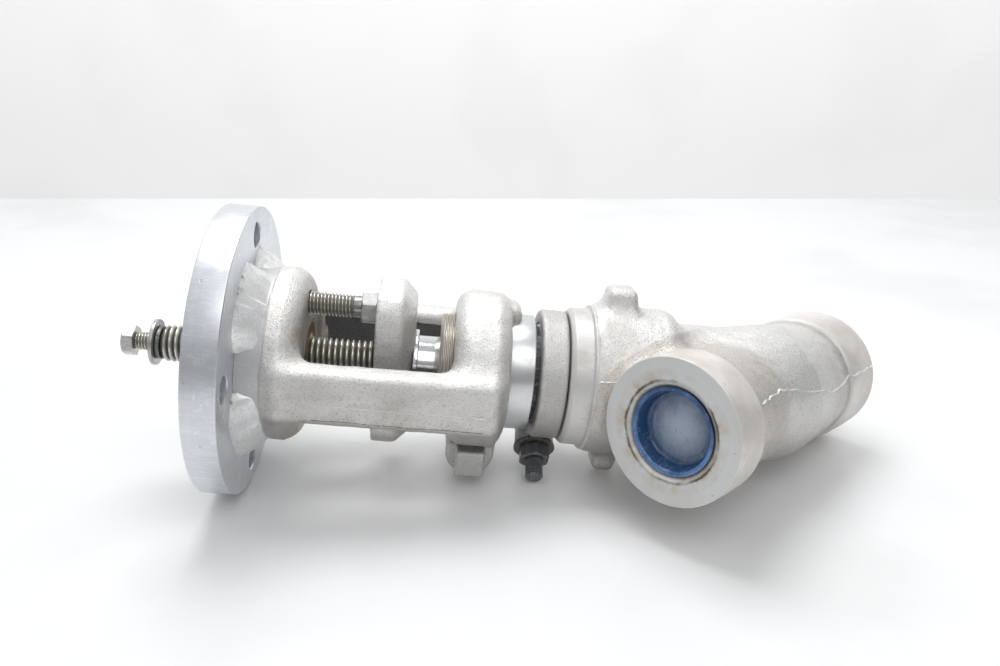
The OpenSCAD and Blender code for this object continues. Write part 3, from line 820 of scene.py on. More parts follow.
# ------------------------------------------------------------------ port collars
# The two socket ends are turned after casting: a smooth collar, a flat ring face and the
# socket that a pipe is welded into. They carry a thin warm film of dirt and some rust.
def port_material():
    """Turned steel under a warm film: ochre round the socket, a black ring at its edge."""
    material, tree, shader, place = start_material("port_steel", RUN)
    marks = group_node(tree, lathe_marks, Vector=place, Rings=800.0)
    parts, radius = polar(tree, place)
    wobble = noise(tree, place, 160.0, 5.0, 0.65)
    wide = noise(tree, place, 45.0, 4.0, 0.6)
    film = blotches(tree, place, 30.0, 0.55, 0.35)
    speck = blotches(tree, place, 300.0, 0.10, 0.06)
    colour = mix(tree, film, (0.68, 0.685, 0.68, 1), (0.57, 0.545, 0.51, 1))
    colour = mix(tree, mul(tree, marks.outputs[0], 0.22), colour, (0.40, 0.40, 0.40, 1))
    near = remap(tree, radius, 0.0262, 0.0198)
    ochre = mul(tree, near, remap(tree, add(tree, mul(tree, wide, 0.6),
                  mul(tree, wobble, 0.4)), 0.46, 0.60))
    colour = tint(tree, colour, ochre, 0.85, (0.42, 0.29, 0.12, 1))
    edge = maths(tree, "ABSOLUTE", sub(tree, radius,
                 add(tree, 0.0196, mul(tree, wobble, 0.0015))))
    ring = mul(tree, remap(tree, edge, 0.0008, 0.0002), remap(tree, wide, 0.41, 0.54, 0.25, 1.0))
    colour = tint(tree, colour, ring, 0.92, (0.045, 0.035, 0.028, 1))
    sides = remap(tree, radius, 0.0294, 0.0297)
    stain = remap(tree, add(tree, wide, mul(tree, speck, 0.08)), 0.40, 0.62)
    warm = mix(tree, stain, (0.80, 0.765, 0.725, 1), (0.62, 0.575, 0.53, 1))
    colour = mix(tree, mul(tree, sides, 0.9), colour, warm)
    colour = tint(tree, colour, speck, 0.55, (0.10, 0.085, 0.07, 1))
    inner = remap(tree, radius, 0.0188, 0.0182)
    colour = tint(tree, colour, inner, 0.35, (0.30, 0.25, 0.19, 1))
    rough = remap(tree, film, 0, 1, 0.42, 0.58)
    set_shader(tree, shader, Base_Color=colour, Roughness=rough, Metallic=0.2,
               Normal=bump(tree, add(tree, marks.outputs[0],
                                       mul(tree, wobble, 0.6)), 0.00009))
    return material


port_steel = port_material()
SOCKET_DEPTH = 13.0
MOUTH_R = SOCKET_R + 2.9


def port_collar(name, face, side, length):
    """One socket end; side is +1 where the port looks along the run's axis, else -1."""
    outline = [
        (PORT_R - 0.35, face), (PORT_R, face - side * 0.35), (PORT_R + 0.15, face - side * 9),
        (PORT_R, face - side * (length - 1.5)), (PORT_R - 0.9, face - side * length),
        (PORT_R - 3.5, face - side * (length + 1.5)), (FLOW_R, face - side * (length + 1.5)),
        (FLOW_R, face - side * SOCKET_DEPTH), (SOCKET_R, face - side * SOCKET_DEPTH),
        (SOCKET_R, face - side * 2.9), (MOUTH_R, face),
    ]
    piece = lathe(name, eased(outline, 0.35), RUN, port_steel, 192)
    mount(piece, "body", "valve", "port_steel")


port_collar("front_collar", FRONT_LEN, 1, FRONT_COLLAR)
port_collar("rear_collar", -REAR_LEN, -1, REAR_COLLAR)

# ------------------------------------------------------------------ neck ring
# The neck's mouth is turned to a plain ring with a bevelled edge and a raised lip.
neck_steel = machined("neck_steel", (0.68, 0.67, 0.65, 1), VALVE, rough=0.45, rings=700.0,
                      dirt=0.5, dirt_colour=(0.42, 0.38, 0.33, 1), metal=0.45, rust_share=0.2)
neck_outline = [
    (BONNET_R, Z_BODY + 0.15), (NECK_R - 4.0, Z_BODY + 0.15), (NECK_R - 2.4, Z_BODY + 1.9),
    (NECK_R - 2.2, Z_BODY + 9.2), (NECK_R - 1.9, Z_BODY + 9.5), (NECK_R - 0.7, Z_BODY + 9.9),
    (NECK_R - 0.5, Z_BODY + 10.5), (NECK_R - 0.6, Z_BODY + 11.2), (NECK_R - 1.0, Z_BODY + 12.5),
    (NECK_R - 4, Z_NECK + 6), (BONNET_R, Z_NECK + 6),
]
neck_ring = lathe("neck_ring", eased(neck_outline, 0.5), VALVE, neck_steel, 160)
mount(neck_ring, "body", "valve", "port_steel")

# ------------------------------------------------------------------ bonnet
# A turned steel bar: threaded at the top where the yoke screws on, a smooth collar under
# the yoke, a narrow relief groove, then the part that goes through the clamp ring.


def thread_tree():
    """Geometry nodes that make a threaded bar along z from Start, its ends bevelled."""
    tree = bpy.data.node_groups.new("threaded_bar", "GeometryNodeTree")
    for label, kind, value in (
        ("Radius", "NodeSocketFloat", 4.0), ("Depth", "NodeSocketFloat", 0.7),
        ("Pitch", "NodeSocketFloat", 1.25), ("Start", "NodeSocketFloat", 0.0),
        ("Length", "NodeSocketFloat", 20.0), ("Bore", "NodeSocketFloat", 0.0),
        ("Rows", "NodeSocketInt", 160), ("Sides", "NodeSocketInt", 64),
        ("Material", "NodeSocketMaterial", None),
    ):
        socket = tree.interface.new_socket(label, in_out="INPUT", socket_type=kind)
        if value is not None:
            socket.default_value = value
    tree.interface.new_socket("Geometry", in_out="OUTPUT", socket_type="NodeSocketGeometry")
    source = tree.nodes.new("NodeGroupInput").outputs
    sheet = put(tree, "GeometryNodeMeshGrid", Size_X=1.0, Size_Y=1.0, Vertices_X=source["Rows"],
                Vertices_Y=add(tree, source["Sides"], 1))
    position = put(tree, "GeometryNodeInputPosition").outputs[0]
    place = put(tree, "ShaderNodeSeparateXYZ", Vector=position)
    along = add(tree, place.outputs[0], 0.5)
    turn = add(tree, place.outputs[1], 0.5)
    last = sub(tree, source["Rows"], 1)
    row = maths(tree, "ROUND", mul(tree, along, last))
    share = maths(tree, "DIVIDE", sub(tree, row, 1), sub(tree, last, 3), True)
    not_last = maths(tree, "LESS_THAN", row, sub(tree, last, 0.5))
    height = mul(tree, mul(tree, share, not_last), source["Length"])
    phase = maths(tree, "FRACT", sub(tree, maths(tree, "DIVIDE", height, source["Pitch"]), turn))
    wave = maths(tree, "ABSOLUTE", sub(tree, mul(tree, phase, 2), 1))
    crest = remap(tree, wave, 0.14, 0.82)
    root = sub(tree, source["Radius"], source["Depth"])
    thread_r = add(tree, root, mul(tree, crest, source["Depth"]))
    from_end = maths(tree, "MINIMUM", height, sub(tree, source["Length"], height))
    bevel_r = add(tree, sub(tree, root, mul(tree, source["Depth"], 0.3)),
                    from_end)
    radius_out = maths(tree, "MINIMUM", thread_r, bevel_r)
    outer_row = mul(tree, maths(tree, "GREATER_THAN", row, 0.5),
                      maths(tree, "LESS_THAN", row, sub(tree, last, 1.5)))
    radius_out = add(tree, mul(tree, radius_out, outer_row),
                       mul(tree, source["Bore"], sub(tree, 1, outer_row)))
    angle = mul(tree, turn, 2 * math.pi)
    target = put(tree, "ShaderNodeCombineXYZ",
                 X=mul(tree, radius_out, maths(tree, "COSINE", angle)),
                 Y=mul(tree, radius_out, maths(tree, "SINE", angle)),
                 Z=add(tree, source["Start"], height))
    moved = put(tree, "GeometryNodeSetPosition", Geometry=sheet.outputs[0],
                Position=target.outputs[0])
    closed = put(tree, "GeometryNodeMergeByDistance", Geometry=moved.outputs[0], Distance=0.0005)
    real = put(tree, "GeometryNodeRealizeInstances", Geometry=closed.outputs[0])
    painted = put(tree, "GeometryNodeSetMaterial", Geometry=real.outputs[0],
                  Material=source["Material"])
    sink = tree.nodes.new("NodeGroupOutput")
    tree.links.new(painted.outputs[0], sink.inputs[0])
    return tree


THREAD = thread_tree()
M8 = (4.0, 0.72, 1.25)  # radius, depth and pitch of the thread
M8_ACROSS = 13.0


def threaded_bar(name, matrix, material, radius, depth, pitch, start, end, sides=64,
                 rows_per_turn=10, bore=0.0):
    """A bar with a real helical thread from start to end, as a plain mesh in place."""
    holder = bpy.data.objects.new(name + "_maker", bpy.data.meshes.new(name + "_maker"))
    bpy.context.scene.collection.objects.link(holder)
    modifier = holder.modifiers.new("thread", "NODES")
    modifier.node_group = THREAD
    values = {
        "Radius": float(radius), "Depth": float(depth), "Pitch": float(pitch),
        "Start": float(start), "Length": float(end - start),
        "Rows": int((end - start) / pitch * rows_per_turn) + 4, "Sides": sides,
        "Bore": float(bore), "Material": material,
    }
    for item in THREAD.interface.items_tree:
        if item.in_out == "INPUT":
            modifier[item.identifier] = values[item.name]
    holder.update_tag()
    graph = bpy.context.evaluated_depsgraph_get()
    mesh = bpy.data.meshes.new_from_object(holder.evaluated_get(graph))
    holder.modifiers.remove(modifier)
    bpy.data.objects.remove(holder)
    mesh.name = name
    mesh.transform(matrix)
    return finish_piece(name, mesh, None, 40)


bonnet_low, bonnet_high = span("bonnet", VALVE)
bonnet_points = node_points("bonnet", VALVE)
collar_r = np.hypot(bonnet_points[:, 0], bonnet_points[:, 1]).max()
clamp_low = Z_BODY - 12.0
COLLAR_T = 10.7
GROOVE_T = 2.5
Z_COLLAR = clamp_low - GROOVE_T - COLLAR_T
THREAD_R = 23.5
bonnet_steel = machined("bonnet_steel", (0.70, 0.705, 0.705, 1), VALVE, rough=0.3, rings=1500.0,
                        dirt=0.22, dirt_colour=(0.42, 0.41, 0.39, 1))
bonnet_outline = [
    (12.6, bonnet_low + 3), (THREAD_R - 1.2, bonnet_low + 3), (THREAD_R - 1.2, Z_COLLAR),
    (collar_r, Z_COLLAR), (collar_r, clamp_low - GROOVE_T), (20.4, clamp_low - GROOVE_T),
    (20.4, clamp_low), (22.0, clamp_low), (22.0, Z_BODY + 28.3), (16.9, Z_BODY + 28.3),
    (16.9, bonnet_high), (7.05, bonnet_high), (7.05, bonnet_low + 48), (12.6, bonnet_low + 48),
]
bonnet_bar = lathe("bonnet_bar", eased(bonnet_outline, 0.7), VALVE, bonnet_steel, 160)
bonnet_thread_steel = machined("bonnet_thread_steel", (0.55, 0.52, 0.47, 1), VALVE, rough=0.35,
                               dirt=0.5, dirt_colour=(0.34, 0.24, 0.15, 1), rust_share=0.25)
# The relief groove is lined with a near-black sleeve: painted shade in the groove, with some
# grease.
groove_shade_and_grease = fixing_steel("groove_shade_and_grease", (0.055, 0.06, 0.075, 1), VALVE, 0.6, 0.0, 0.3)
groove = lathe("bonnet_groove", sleeve(20.2, 21.0, clamp_low - GROOVE_T + 0.05, clamp_low + 0.4),
               VALVE, groove_shade_and_grease, 128)
mount(groove, "bonnet", "valve", "dark_steel")
mount(bonnet_bar, "bonnet", "valve", "bonnet_steel")
bonnet_thread = threaded_bar("bonnet_thread", VALVE, bonnet_thread_steel, THREAD_R, 0.85, 1.5,
                             bonnet_low, bonnet_low + 12, sides=128, bore=12.6)
mount(bonnet_thread, "bonnet", "valve", "bonnet_steel")

# ------------------------------------------------------------------ clamp ring
# A cast ring, split at its boss and drawn tight by an M8 bolt. It joins bonnet and body.
CLAMP_R = 28.7
CLAMP_TURN = math.radians(37)
CLAMP_REACH = 29.7
CLAMP_W = 11.4
BOSS_R = 9.0
WASHER_R = 9.5
CLAMP_Z = clamp_low + 4.2
CLAMP_NEAR = 20.6
CLAMP_FAR = 18.0
SPLIT = 3.0
clamp_paint = cast_paint("clamp_paint", (0.62, 0.615, 0.605, 1), 0.6, 0.83)


def clamp_field(x, y, z):
    """Distance to the clamp ring, in the valve's frame."""
    r = np.hypot(x, y)
    ring = blend_max(r - CLAMP_R, slab(z, clamp_low, clamp_low + CLAMP_W), 1.6)
    turned_x = x * math.cos(CLAMP_TURN) + y * math.sin(CLAMP_TURN)
    turned_y = -x * math.sin(CLAMP_TURN) + y * math.cos(CLAMP_TURN)
    boss_r = np.hypot(turned_x - CLAMP_REACH, z - CLAMP_Z)
    boss = blend_max(boss_r - BOSS_R, slab(-turned_y, -CLAMP_FAR, CLAMP_NEAR), 1.2)
    solid = blend_min(ring, boss, 2.5) + 0.10 * value_noise(x, y, z, 3.2, 21)
    gap = np.maximum(np.abs(turned_y) - SPLIT / 2, 15 - turned_x)
    hole = boss_r - 4.4
    bore = r - BONNET_R - 0.05
    collar_room = np.maximum(r - collar_r - 0.5, z - clamp_low)
    ring_room = np.maximum(r - NECK_R + 1.6, clamp_low + CLAMP_W - 0.1 - z)
    return cut_away(solid, gap, hole, bore, collar_room, ring_room)


clamp_casting = cast_piece("clamp_casting", clamp_field, (-31, -40, clamp_low - 7),
                           (46, 34, clamp_low + 16), 0.7, VALVE, clamp_paint)
mount(clamp_casting, "clamp_ring", "valve", "cast_paint")

# ------------------------------------------------------------------ clamp bolt
# An M8 bolt, a plain washer and a nut of blackened steel, all of them greasy.


def hex_piece(name, matrix, material, across, low, high, bore=0.0, bevels=(True, True)):
    """A hexagon head or nut from low to high, its corners turned off to 30 degrees."""
    face_r = across / 2 * 0.94
    sides = 144
    height = high - low
    steps = [0, 0.12, 0.24, 0.36, 0.5, 0.65, 0.8, 1.0, 1.25, 1.5]
    rows = [s for s in steps if s < height / 2] + [height / 2]
    rows = rows + [height - s for s in reversed(rows[:-1])]
    points, faces = [], []
    for i in range(sides):
        angle = 2 * math.pi * i / sides
        flat = across / 2 / math.cos((angle % (math.pi / 3)) - math.pi / 6)
        flat = min(flat, across / 2 * 1.145)
        column = [(bore, low)]
        for s in rows:
            r = flat
            if bevels[0]:
                r = min(r, face_r + s / 0.577)
            if bevels[1]:
                r = min(r, face_r + (height - s) / 0.577)
            column.append((r, low + s))
        column.append((bore, high))
        points += [(r * math.cos(angle), r * math.sin(angle), z) for r, z in column]
    n = len(rows) + 2
    for i in range(sides):
        j = (i + 1) % sides
        for k in range(n if bore else n - 1):
            m = (k + 1) % n
            faces.append((i * n + k, j * n + k, j * n + m, i * n + m))
    return add_piece(name, points, faces, matrix, material, 24)


CLAMP = VALVE @ Matrix.Rotation(CLAMP_TURN, 4, "Z")
CLAMP = CLAMP @ Matrix.Translation((CLAMP_REACH, 0, CLAMP_Z)) @ Matrix.Rotation(math.pi / 2, 4, "X")
WASHER_T = 1.6
NUT_T = 6.5
STUD_END = span("clamp_bolt", CLAMP)[1]
black_steel = fixing_steel("black_steel", (0.17, 0.175, 0.18, 1), CLAMP, 0.4, 0.10, 0.34)
clamp_head = hex_piece("clamp_head", CLAMP, black_steel, M8_ACROSS, -CLAMP_FAR - 5.3, -CLAMP_FAR,
                       0, (True, False))
clamp_shank = lathe("clamp_shank", sleeve(0, M8[0], -CLAMP_FAR - 0.4, CLAMP_NEAR - 5), CLAMP,
                    black_steel, 48)
clamp_thread = threaded_bar("clamp_thread", CLAMP, black_steel, *M8,
                            CLAMP_NEAR - 6, STUD_END, sides=64)
for piece in (clamp_head, clamp_shank, clamp_thread):
    mount(piece, "clamp_bolt", "valve", "dark_steel")
nut_low = CLAMP_NEAR + WASHER_T
clamp_washer = lathe("clamp_washer_disc", eased(sleeve(4.3, WASHER_R, CLAMP_NEAR, nut_low), 0.35),
                     CLAMP, black_steel, 72)
mount(clamp_washer, "clamp_washer", "valve", "dark_steel")
clamp_nut = hex_piece("clamp_nut_hex", CLAMP, black_steel, M8_ACROSS, nut_low, nut_low + NUT_T,
                      3.6)
mount(clamp_nut, "clamp_nut", "valve", "dark_steel")

# ------------------------------------------------------------------ yoke casting
# One casting: an upper block with the stem bushing, two arms, and a lower block that is
# split at its ear and pinched on the bonnet's thread. It has the body's paint.
HUB_R = 37.5
Z_HUB = 13.5
Z_TOP = 23.5
BLOCK_R = 38.0
Z_WINDOW = 37.5
Z_LOW = 100.0
LOW_R = 34.8
Z_LOW_END = 124.0
ARM_OUT = 40.0
ARM_T = 12.0
ARM_W = 25.0
EAR_R = 11.0
EAR_X = 37.5
EAR_HALF = 13.0
SCREW_R = 25.0
Z_EAR = Z_LOW + 11.5
yoke_paint = cast_paint("yoke_paint", (0.80, 0.79, 0.77, 1), 0.5, 0.57)


def rounded_edge_disc(r, z, big, low, high, r_low, r_high):
    """Distance to a disc whose two rims are rounded, r_low at low and r_high at high."""
    rim = np.where(z < (low + high) / 2, r_low, r_high)
    qr = r - (big - rim)
    qz = np.where(z < (low + high) / 2, (low + rim) - z, z - (high - rim))
    corner = np.sqrt(np.maximum(qr, 0) ** 2 + np.maximum(qz, 0) ** 2)
    return corner + np.minimum(np.maximum(qr, qz), 0) - rim


def yoke_field(x, y, z):
    """Distance to the yoke casting, in the yoke's frame."""
    r = np.hypot(x, y)
    block = rounded_edge_disc(r, z, BLOCK_R, Z_TOP, Z_WINDOW, 1.2, 9.5)
    lower = rounded_edge_disc(r, z, LOW_R, Z_LOW, Z_LOW_END, 8, 7)
    shoulder = rounded_edge_disc(r, z, LOW_R - 3.2, Z_LOW_END - 12, Z_LOW_END + 4.5, 2, 4)
    shoulder = blend_max(shoulder, np.maximum(x + 13, -4 - y), 4)
    lower = blend_min(lower, shoulder, 2.0)
    middle = (Z_TOP + Z_LOW_END) / 2
    arm = round_box(x, np.abs(y) - (ARM_OUT - ARM_T / 2), z - middle,
                    (ARM_W / 2, ARM_T / 2, (Z_LOW_END - Z_TOP) / 2 - 3.5), 4.2)
    ear_r = np.hypot(x - EAR_X, z - Z_EAR)
    ear = blend_max(ear_r - EAR_R, np.abs(y) - EAR_HALF, 2.2)
    neck = round_box(x - (EAR_X - 7), y, z - Z_EAR, (8, EAR_HALF, EAR_R), 2.0)
    ear = np.minimum(ear, neck)
    solid = blend_min(blend_min(block, arm, 7), lower, 8)
    solid = blend_min(solid, ear, 3.5)
    solid = solid + 0.20 * value_noise(x, y, z, 5.0, 31) + 0.10 * value_noise(x, y, z, 2.1, 32)
    bore = np.maximum(r - THREAD_R - 0.35, Z_LOW - 6 - z)
    split = np.maximum(np.abs(y) - SPLIT / 2, np.maximum(-x, Z_LOW - 8 - z))
    bushing_room = np.maximum(r - 14.9, z - 60)
    pinch_hole = np.hypot(x - EAR_X, z - Z_EAR) - 4.4
    pinch_seats = np.maximum(pinch_hole - 6.1, EAR_HALF - np.abs(y))
    screws = np.maximum(np.hypot(np.abs(x) - SCREW_R, y) - 5.2, z - 60)
    along = (x + y) * DIAGONAL
    lock = np.maximum(np.hypot((x - y) * DIAGONAL, z - (Z_TOP + 4)) - 2.6, 10 - along)
    return cut_away(solid, bore, split, bushing_room, pinch_hole, pinch_seats, screws, lock)


def yoke_marks(x, y, z):
    """Where the yoke is bare, inside its arms, where rust creeps, round the screws, and a band of
    painted shade by the window, given as 'under'.
    """
    wander = 1.6 * value_noise(x, y, z, 4.5, 35)
    inside = np.abs(y) < ARM_OUT - ARM_T + 1.2
    edge = np.minimum(np.minimum(x + 7.5, 9.0 - x), np.minimum(z - 41, 98 - z)) + wander
    bare = np.clip(0.5 + edge / 2.0, 0, 1) * inside * (np.abs(y) > 20)
    near = np.clip(1.6 - np.hypot(np.abs(x) - SCREW_R, y) / 9.0, 0, 1)
    blot = value_noise(x, y, z, 3.5, 37)
    # Painted shade: a dark band along the block's face at the window's edge, carried as 'under'.
    shade = np.clip(1.3 - np.abs(z - Z_WINDOW - 1) / 3.5, 0, 1) * (np.abs(y) < 26)
    shade = shade * np.clip(0.95 + 0.35 * blot, 0, 1) * (z < 60)
    rusty = near * (np.abs(z - Z_WINDOW) < 3) + 0.7 * inside * (z < 44) * (np.abs(y) > 14)
    return {"bare": bare, "rusty": np.clip(rusty, 0, 1), "under": shade}


yoke_casting = cast_piece("yoke_casting", yoke_field, (-40, -42, Z_TOP - 1),
                          (50, 42, Z_LOW_END + 6), 0.9, YOKE, yoke_paint,
                          yoke_marks)
mount(yoke_casting, "yoke", "valve", "cast_paint")
seam_dirt = fixing_steel("seam_dirt", (0.20, 0.15, 0.12, 1), None, 0.5, 0.10, 0.6)
arm_z = np.arange(44.0, Z_LOW + 16, 0.9)
ARM_SEAMS = ((2.0, 0.42, flash_steel), (8.9, 0.25, seam_dirt))
for side, end in ((-1, "front"), (1, "back")):
    for number, (line_x, tall, paint) in enumerate(ARM_SEAMS):
        wander = value_noise(arm_z, arm_z * 0 + 9 * side, arm_z * 0 + number, 7.0, 36)
        start = np.stack([line_x + 0.4 * wander, np.full_like(arm_z, side * 44.0), arm_z], 1)
        seam, seam_normal = surface_at(yoke_field, start, (0, -side * 0.1, 0))
        strip = ridge_strip(f"arm_seam_{number}_{end}", seam, seam_normal, 0.35, tall, YOKE,
                            paint, 93 + number)
        mount(strip, "yoke", "valve", "cast_paint")
hub_steel = machined("hub_steel", (0.60, 0.605, 0.61, 1), YOKE, rough=0.5, rings=500.0,
                     ring_depth=0.00006, dirt=0.4, dirt_colour=(0.40, 0.37, 0.34, 1), metal=0.4)


def drill(piece, cutters):
    """Cut each cutter out of a piece, then drop the cutters."""
    for cutter in cutters:
        modifier = piece.modifiers.new("hole", "BOOLEAN")
        modifier.operation = "DIFFERENCE"
        modifier.object = cutter
    mesh = bpy.data.meshes.new_from_object(
        piece.evaluated_get(bpy.context.evaluated_depsgraph_get()))
    piece.modifiers.clear()
    piece.data = mesh
    for cutter in cutters:
        bpy.data.objects.remove(cutter)
    mesh.name = piece.name
    mesh.shade_smooth()
    mesh.set_sharp_from_angle(angle=math.radians(28))


hub_outline = [
    (15.0, 9.5), (11.0, 9.5), (11.0, 3.0), (23.9, 3.0), (23.9, Z_HUB), (HUB_R, Z_HUB),
    (HUB_R, Z_TOP + 1.5), (15.0, Z_TOP + 1.5),
]
hub = lathe("yoke_hub", eased(hub_outline, 0.3), YOKE, hub_steel, 160)
drill(hub, [lathe(f"screw_room_{side}", sleeve(0, 5.4, Z_TOP - 7, Z_TOP + 4),
                  YOKE @ Matrix.Translation((SCREW_R * side, 0, 0)), hub_steel, 64)
            for side in (-1, 1)])
mount(hub, "yoke", "valve", "cast_paint")

# ------------------------------------------------------------------ pinch bolt
# A square-headed M8 bolt of zinc-plated steel closes the ear on the bonnet's thread.
PINCH = YOKE @ Matrix.Translation((EAR_X, 0, Z_EAR)) @ Matrix.Rotation(math.pi / 2, 4, "X")
HEAD_SIDE = 13.0
HEAD_T = 9.0
zinc = fixing_steel("zinc", (0.52, 0.515, 0.50, 1), PINCH, 0.3, 0.14, 0.34)
square_steel = cast_paint("square_paint", (0.66, 0.66, 0.65, 1), 0.35, 0.12)


def square_head_field(x, y, z):
    """Distance to the square head."""
    half = (HEAD_SIDE / 2, HEAD_SIDE / 2, HEAD_T / 2)
    head = round_box(x, y, z - (EAR_HALF + HEAD_T / 2 + 0.1), half, 1.4)
    return head + 0.10 * value_noise(x, y, z, 2.4, 51)


pinch_head = cast_piece("pinch_head", square_head_field, (-8, -8, EAR_HALF),
                        (8, 8, EAR_HALF + HEAD_T + 1), 0.5, PINCH, square_steel)
pinch_shank = lathe("pinch_shank", sleeve(0, 4, -EAR_HALF + 3, EAR_HALF + 0.5), PINCH, zinc, 48)
pinch_thread = threaded_bar("pinch_thread", PINCH, zinc, *M8, -EAR_HALF - 10, -EAR_HALF + 4)
for piece in (pinch_head, pinch_shank, pinch_thread):
    mount(piece, "yoke_pinch_bolt", "valve", "zinc")
pinch_nut = hex_piece("pinch_nut_hex", PINCH, zinc, M8_ACROSS, -EAR_HALF - NUT_T - 0.05,
                      -EAR_HALF - 0.05, 3.6)
mount(pinch_nut, "yoke_pinch_nut", "valve", "zinc")

# ------------------------------------------------------------------ stem bushing
# A bronze nut for the stem's thread, pressed in the upper block and held by a grub screw.
bronze = machined("bronze", (0.30, 0.20, 0.09, 1), YOKE, rough=0.4, rings=900.0, dirt=0.5,
                  dirt_colour=(0.13, 0.10, 0.06, 1))
bushing_outline = [(8.1, 9.6), (14.85, 9.6), (14.85, Z_WINDOW), (9.4, Z_WINDOW),
                   (8.1, Z_WINDOW - 1.2)]
bushing = lathe("bushing_turned", eased(bushing_outline, 0.4), YOKE, bronze, 128)
mount(bushing, "yoke_bushing", "valve", "bronze")
LOCK = YOKE @ Matrix.Rotation(math.pi / 4, 4, "Z") @ Matrix.Translation((0, 0, Z_TOP + 4))
LOCK = LOCK @ Matrix.Rotation(math.pi / 2, 4, "Y")
lock_screw = threaded_bar("lock_screw", LOCK, black_steel, 2.5, 0.4, 0.8, 12.2, 24, sides=48,
                          bore=1.3)
mount(lock_screw, "bushing_lock_screw", "valve", "dark_steel")

# ------------------------------------------------------------------ actuator flange
# A flat steel ring turned all over, with four bolt holes, welded to the yoke's hub. Its
# satin face has fine scratches, and spatter from the welding.
FLANGE_R = 62.5
FLANGE_T = 13.5
HOLE_R = MOUNTS["actuator_bolts"]["dims"]["hole_r_mm"]
HOLE_AT = MOUNTS["actuator_bolts"]["dims"]["pcd_mm"] / 2


def flange_material():
    """Satin turned steel, bluish, with scratches every way and dark spatter pits."""
    material, tree, shader, place = start_material("flange_steel", VALVE)
    marks = group_node(tree, lathe_marks, Vector=place, Rings=1300.0)
    brushed = noise(tree, place, 90.0, 8.0, 0.7)
    spatter = blotches(tree, place, 330.0, 0.10, 0.05)
    film = blotches(tree, place, 32.0, 0.35, 0.3)
    one = scratches(tree, place, 26.0, (1.0, 9.0, 1.0))
    two = scratches(tree, place, 30.0, (8.0, 1.5, 1.0))
    colour = mix(tree, mul(tree, marks.outputs[0], 0.4), (0.70, 0.725, 0.76, 1),
                 (0.52, 0.54, 0.575, 1))
    colour = tint(tree, colour, film, 0.35, (0.50, 0.49, 0.47, 1))
    colour = mix(tree, mul(tree, most(tree, one, two), 0.35), colour,
                 (0.92, 0.93, 0.95, 1))
    colour = tint(tree, colour, spatter, 0.5, (0.16, 0.15, 0.14, 1))
    rough = remap(tree, brushed, 0.3, 0.7, 0.24, 0.42)
    height = add(tree, mul(tree, marks.outputs[0], 0.5),
                   mul(tree, spatter, -0.8))
    set_shader(tree, shader, Base_Color=colour, Roughness=rough, Metallic=0.85,
               Normal=bump(tree, height, 0.00006))
    return material


flange_steel = flange_material()
flange_disc = lathe("flange_disc", eased(sleeve(23.98, FLANGE_R, 0, FLANGE_T), 0.7), VALVE,
                    flange_steel, 256)
BEVEL = 0.55
hole_outline = [(0, -1), (HOLE_R + BEVEL + 1, -1), (HOLE_R, BEVEL), (HOLE_R, FLANGE_T - BEVEL),
                (HOLE_R + BEVEL + 1, FLANGE_T + 1), (0, FLANGE_T + 1)]
cutters = []
for turn in range(4):
    place = VALVE @ Matrix.Rotation(turn * math.pi / 2, 4, "Z")
    place = place @ Matrix.Translation((HOLE_AT, 0, 0))
    cutters.append(lathe(f"hole_{turn}", hole_outline, place, flange_steel, 64))
drill(flange_disc, cutters)
mount(flange_disc, "actuator_flange", "valve", "flange_steel")

# ------------------------------------------------------------------ flange welds
# Four fillet welds join the hub and the flange. They are ground with a disc, so that they
# show flat bright facets and streaks, and their toes stay rough and pitted.
WELD_OUT = 9.0
WELD_UP = 10.4


def weld_material():
    """Ground weld metal: bright streaks across it, dark pits toward its toes."""
    material, tree, shader, place = start_material("weld_metal", YOKE)
    edge = put(tree, "ShaderNodeAttribute", {"attribute_name": "toe"}).outputs["Fac"]
    streak_a = scratches(tree, place, 34.0, (1.0, 7.0, 2.0))
    streak_b = scratches(tree, place, 60.0, (6.0, 1.5, 3.0))
    tone = noise(tree, place, 120.0, 4.0, 0.6)
    pits = blotches(tree, place, 280.0, 0.4, 0.1)
    colour = mix(tree, remap(tree, tone, 0.35, 0.65), (0.95, 0.955, 0.96, 1),
                 (0.82, 0.82, 0.815, 1))
    streaks = most(tree, streak_a, streak_b)
    colour = tint(tree, colour, streaks, 0.35, (0.45, 0.44, 0.43, 1))
    toe = mul(tree, remap(tree, add(tree, edge,
                mul(tree, tone, 0.4)), 0.85, 1.25), pits)
    colour = mix(tree, toe, colour, (0.16, 0.14, 0.12, 1))
    rough = remap(tree, tone, 0.3, 0.7, 0.22, 0.42)
    height = add(tree, mul(tree, streaks, 0.5), mul(tree, toe, -1.2))
    set_shader(tree, shader, Base_Color=colour, Roughness=rough, Metallic=0.4,
               Normal=bump(tree, height, 0.00008))
    return material


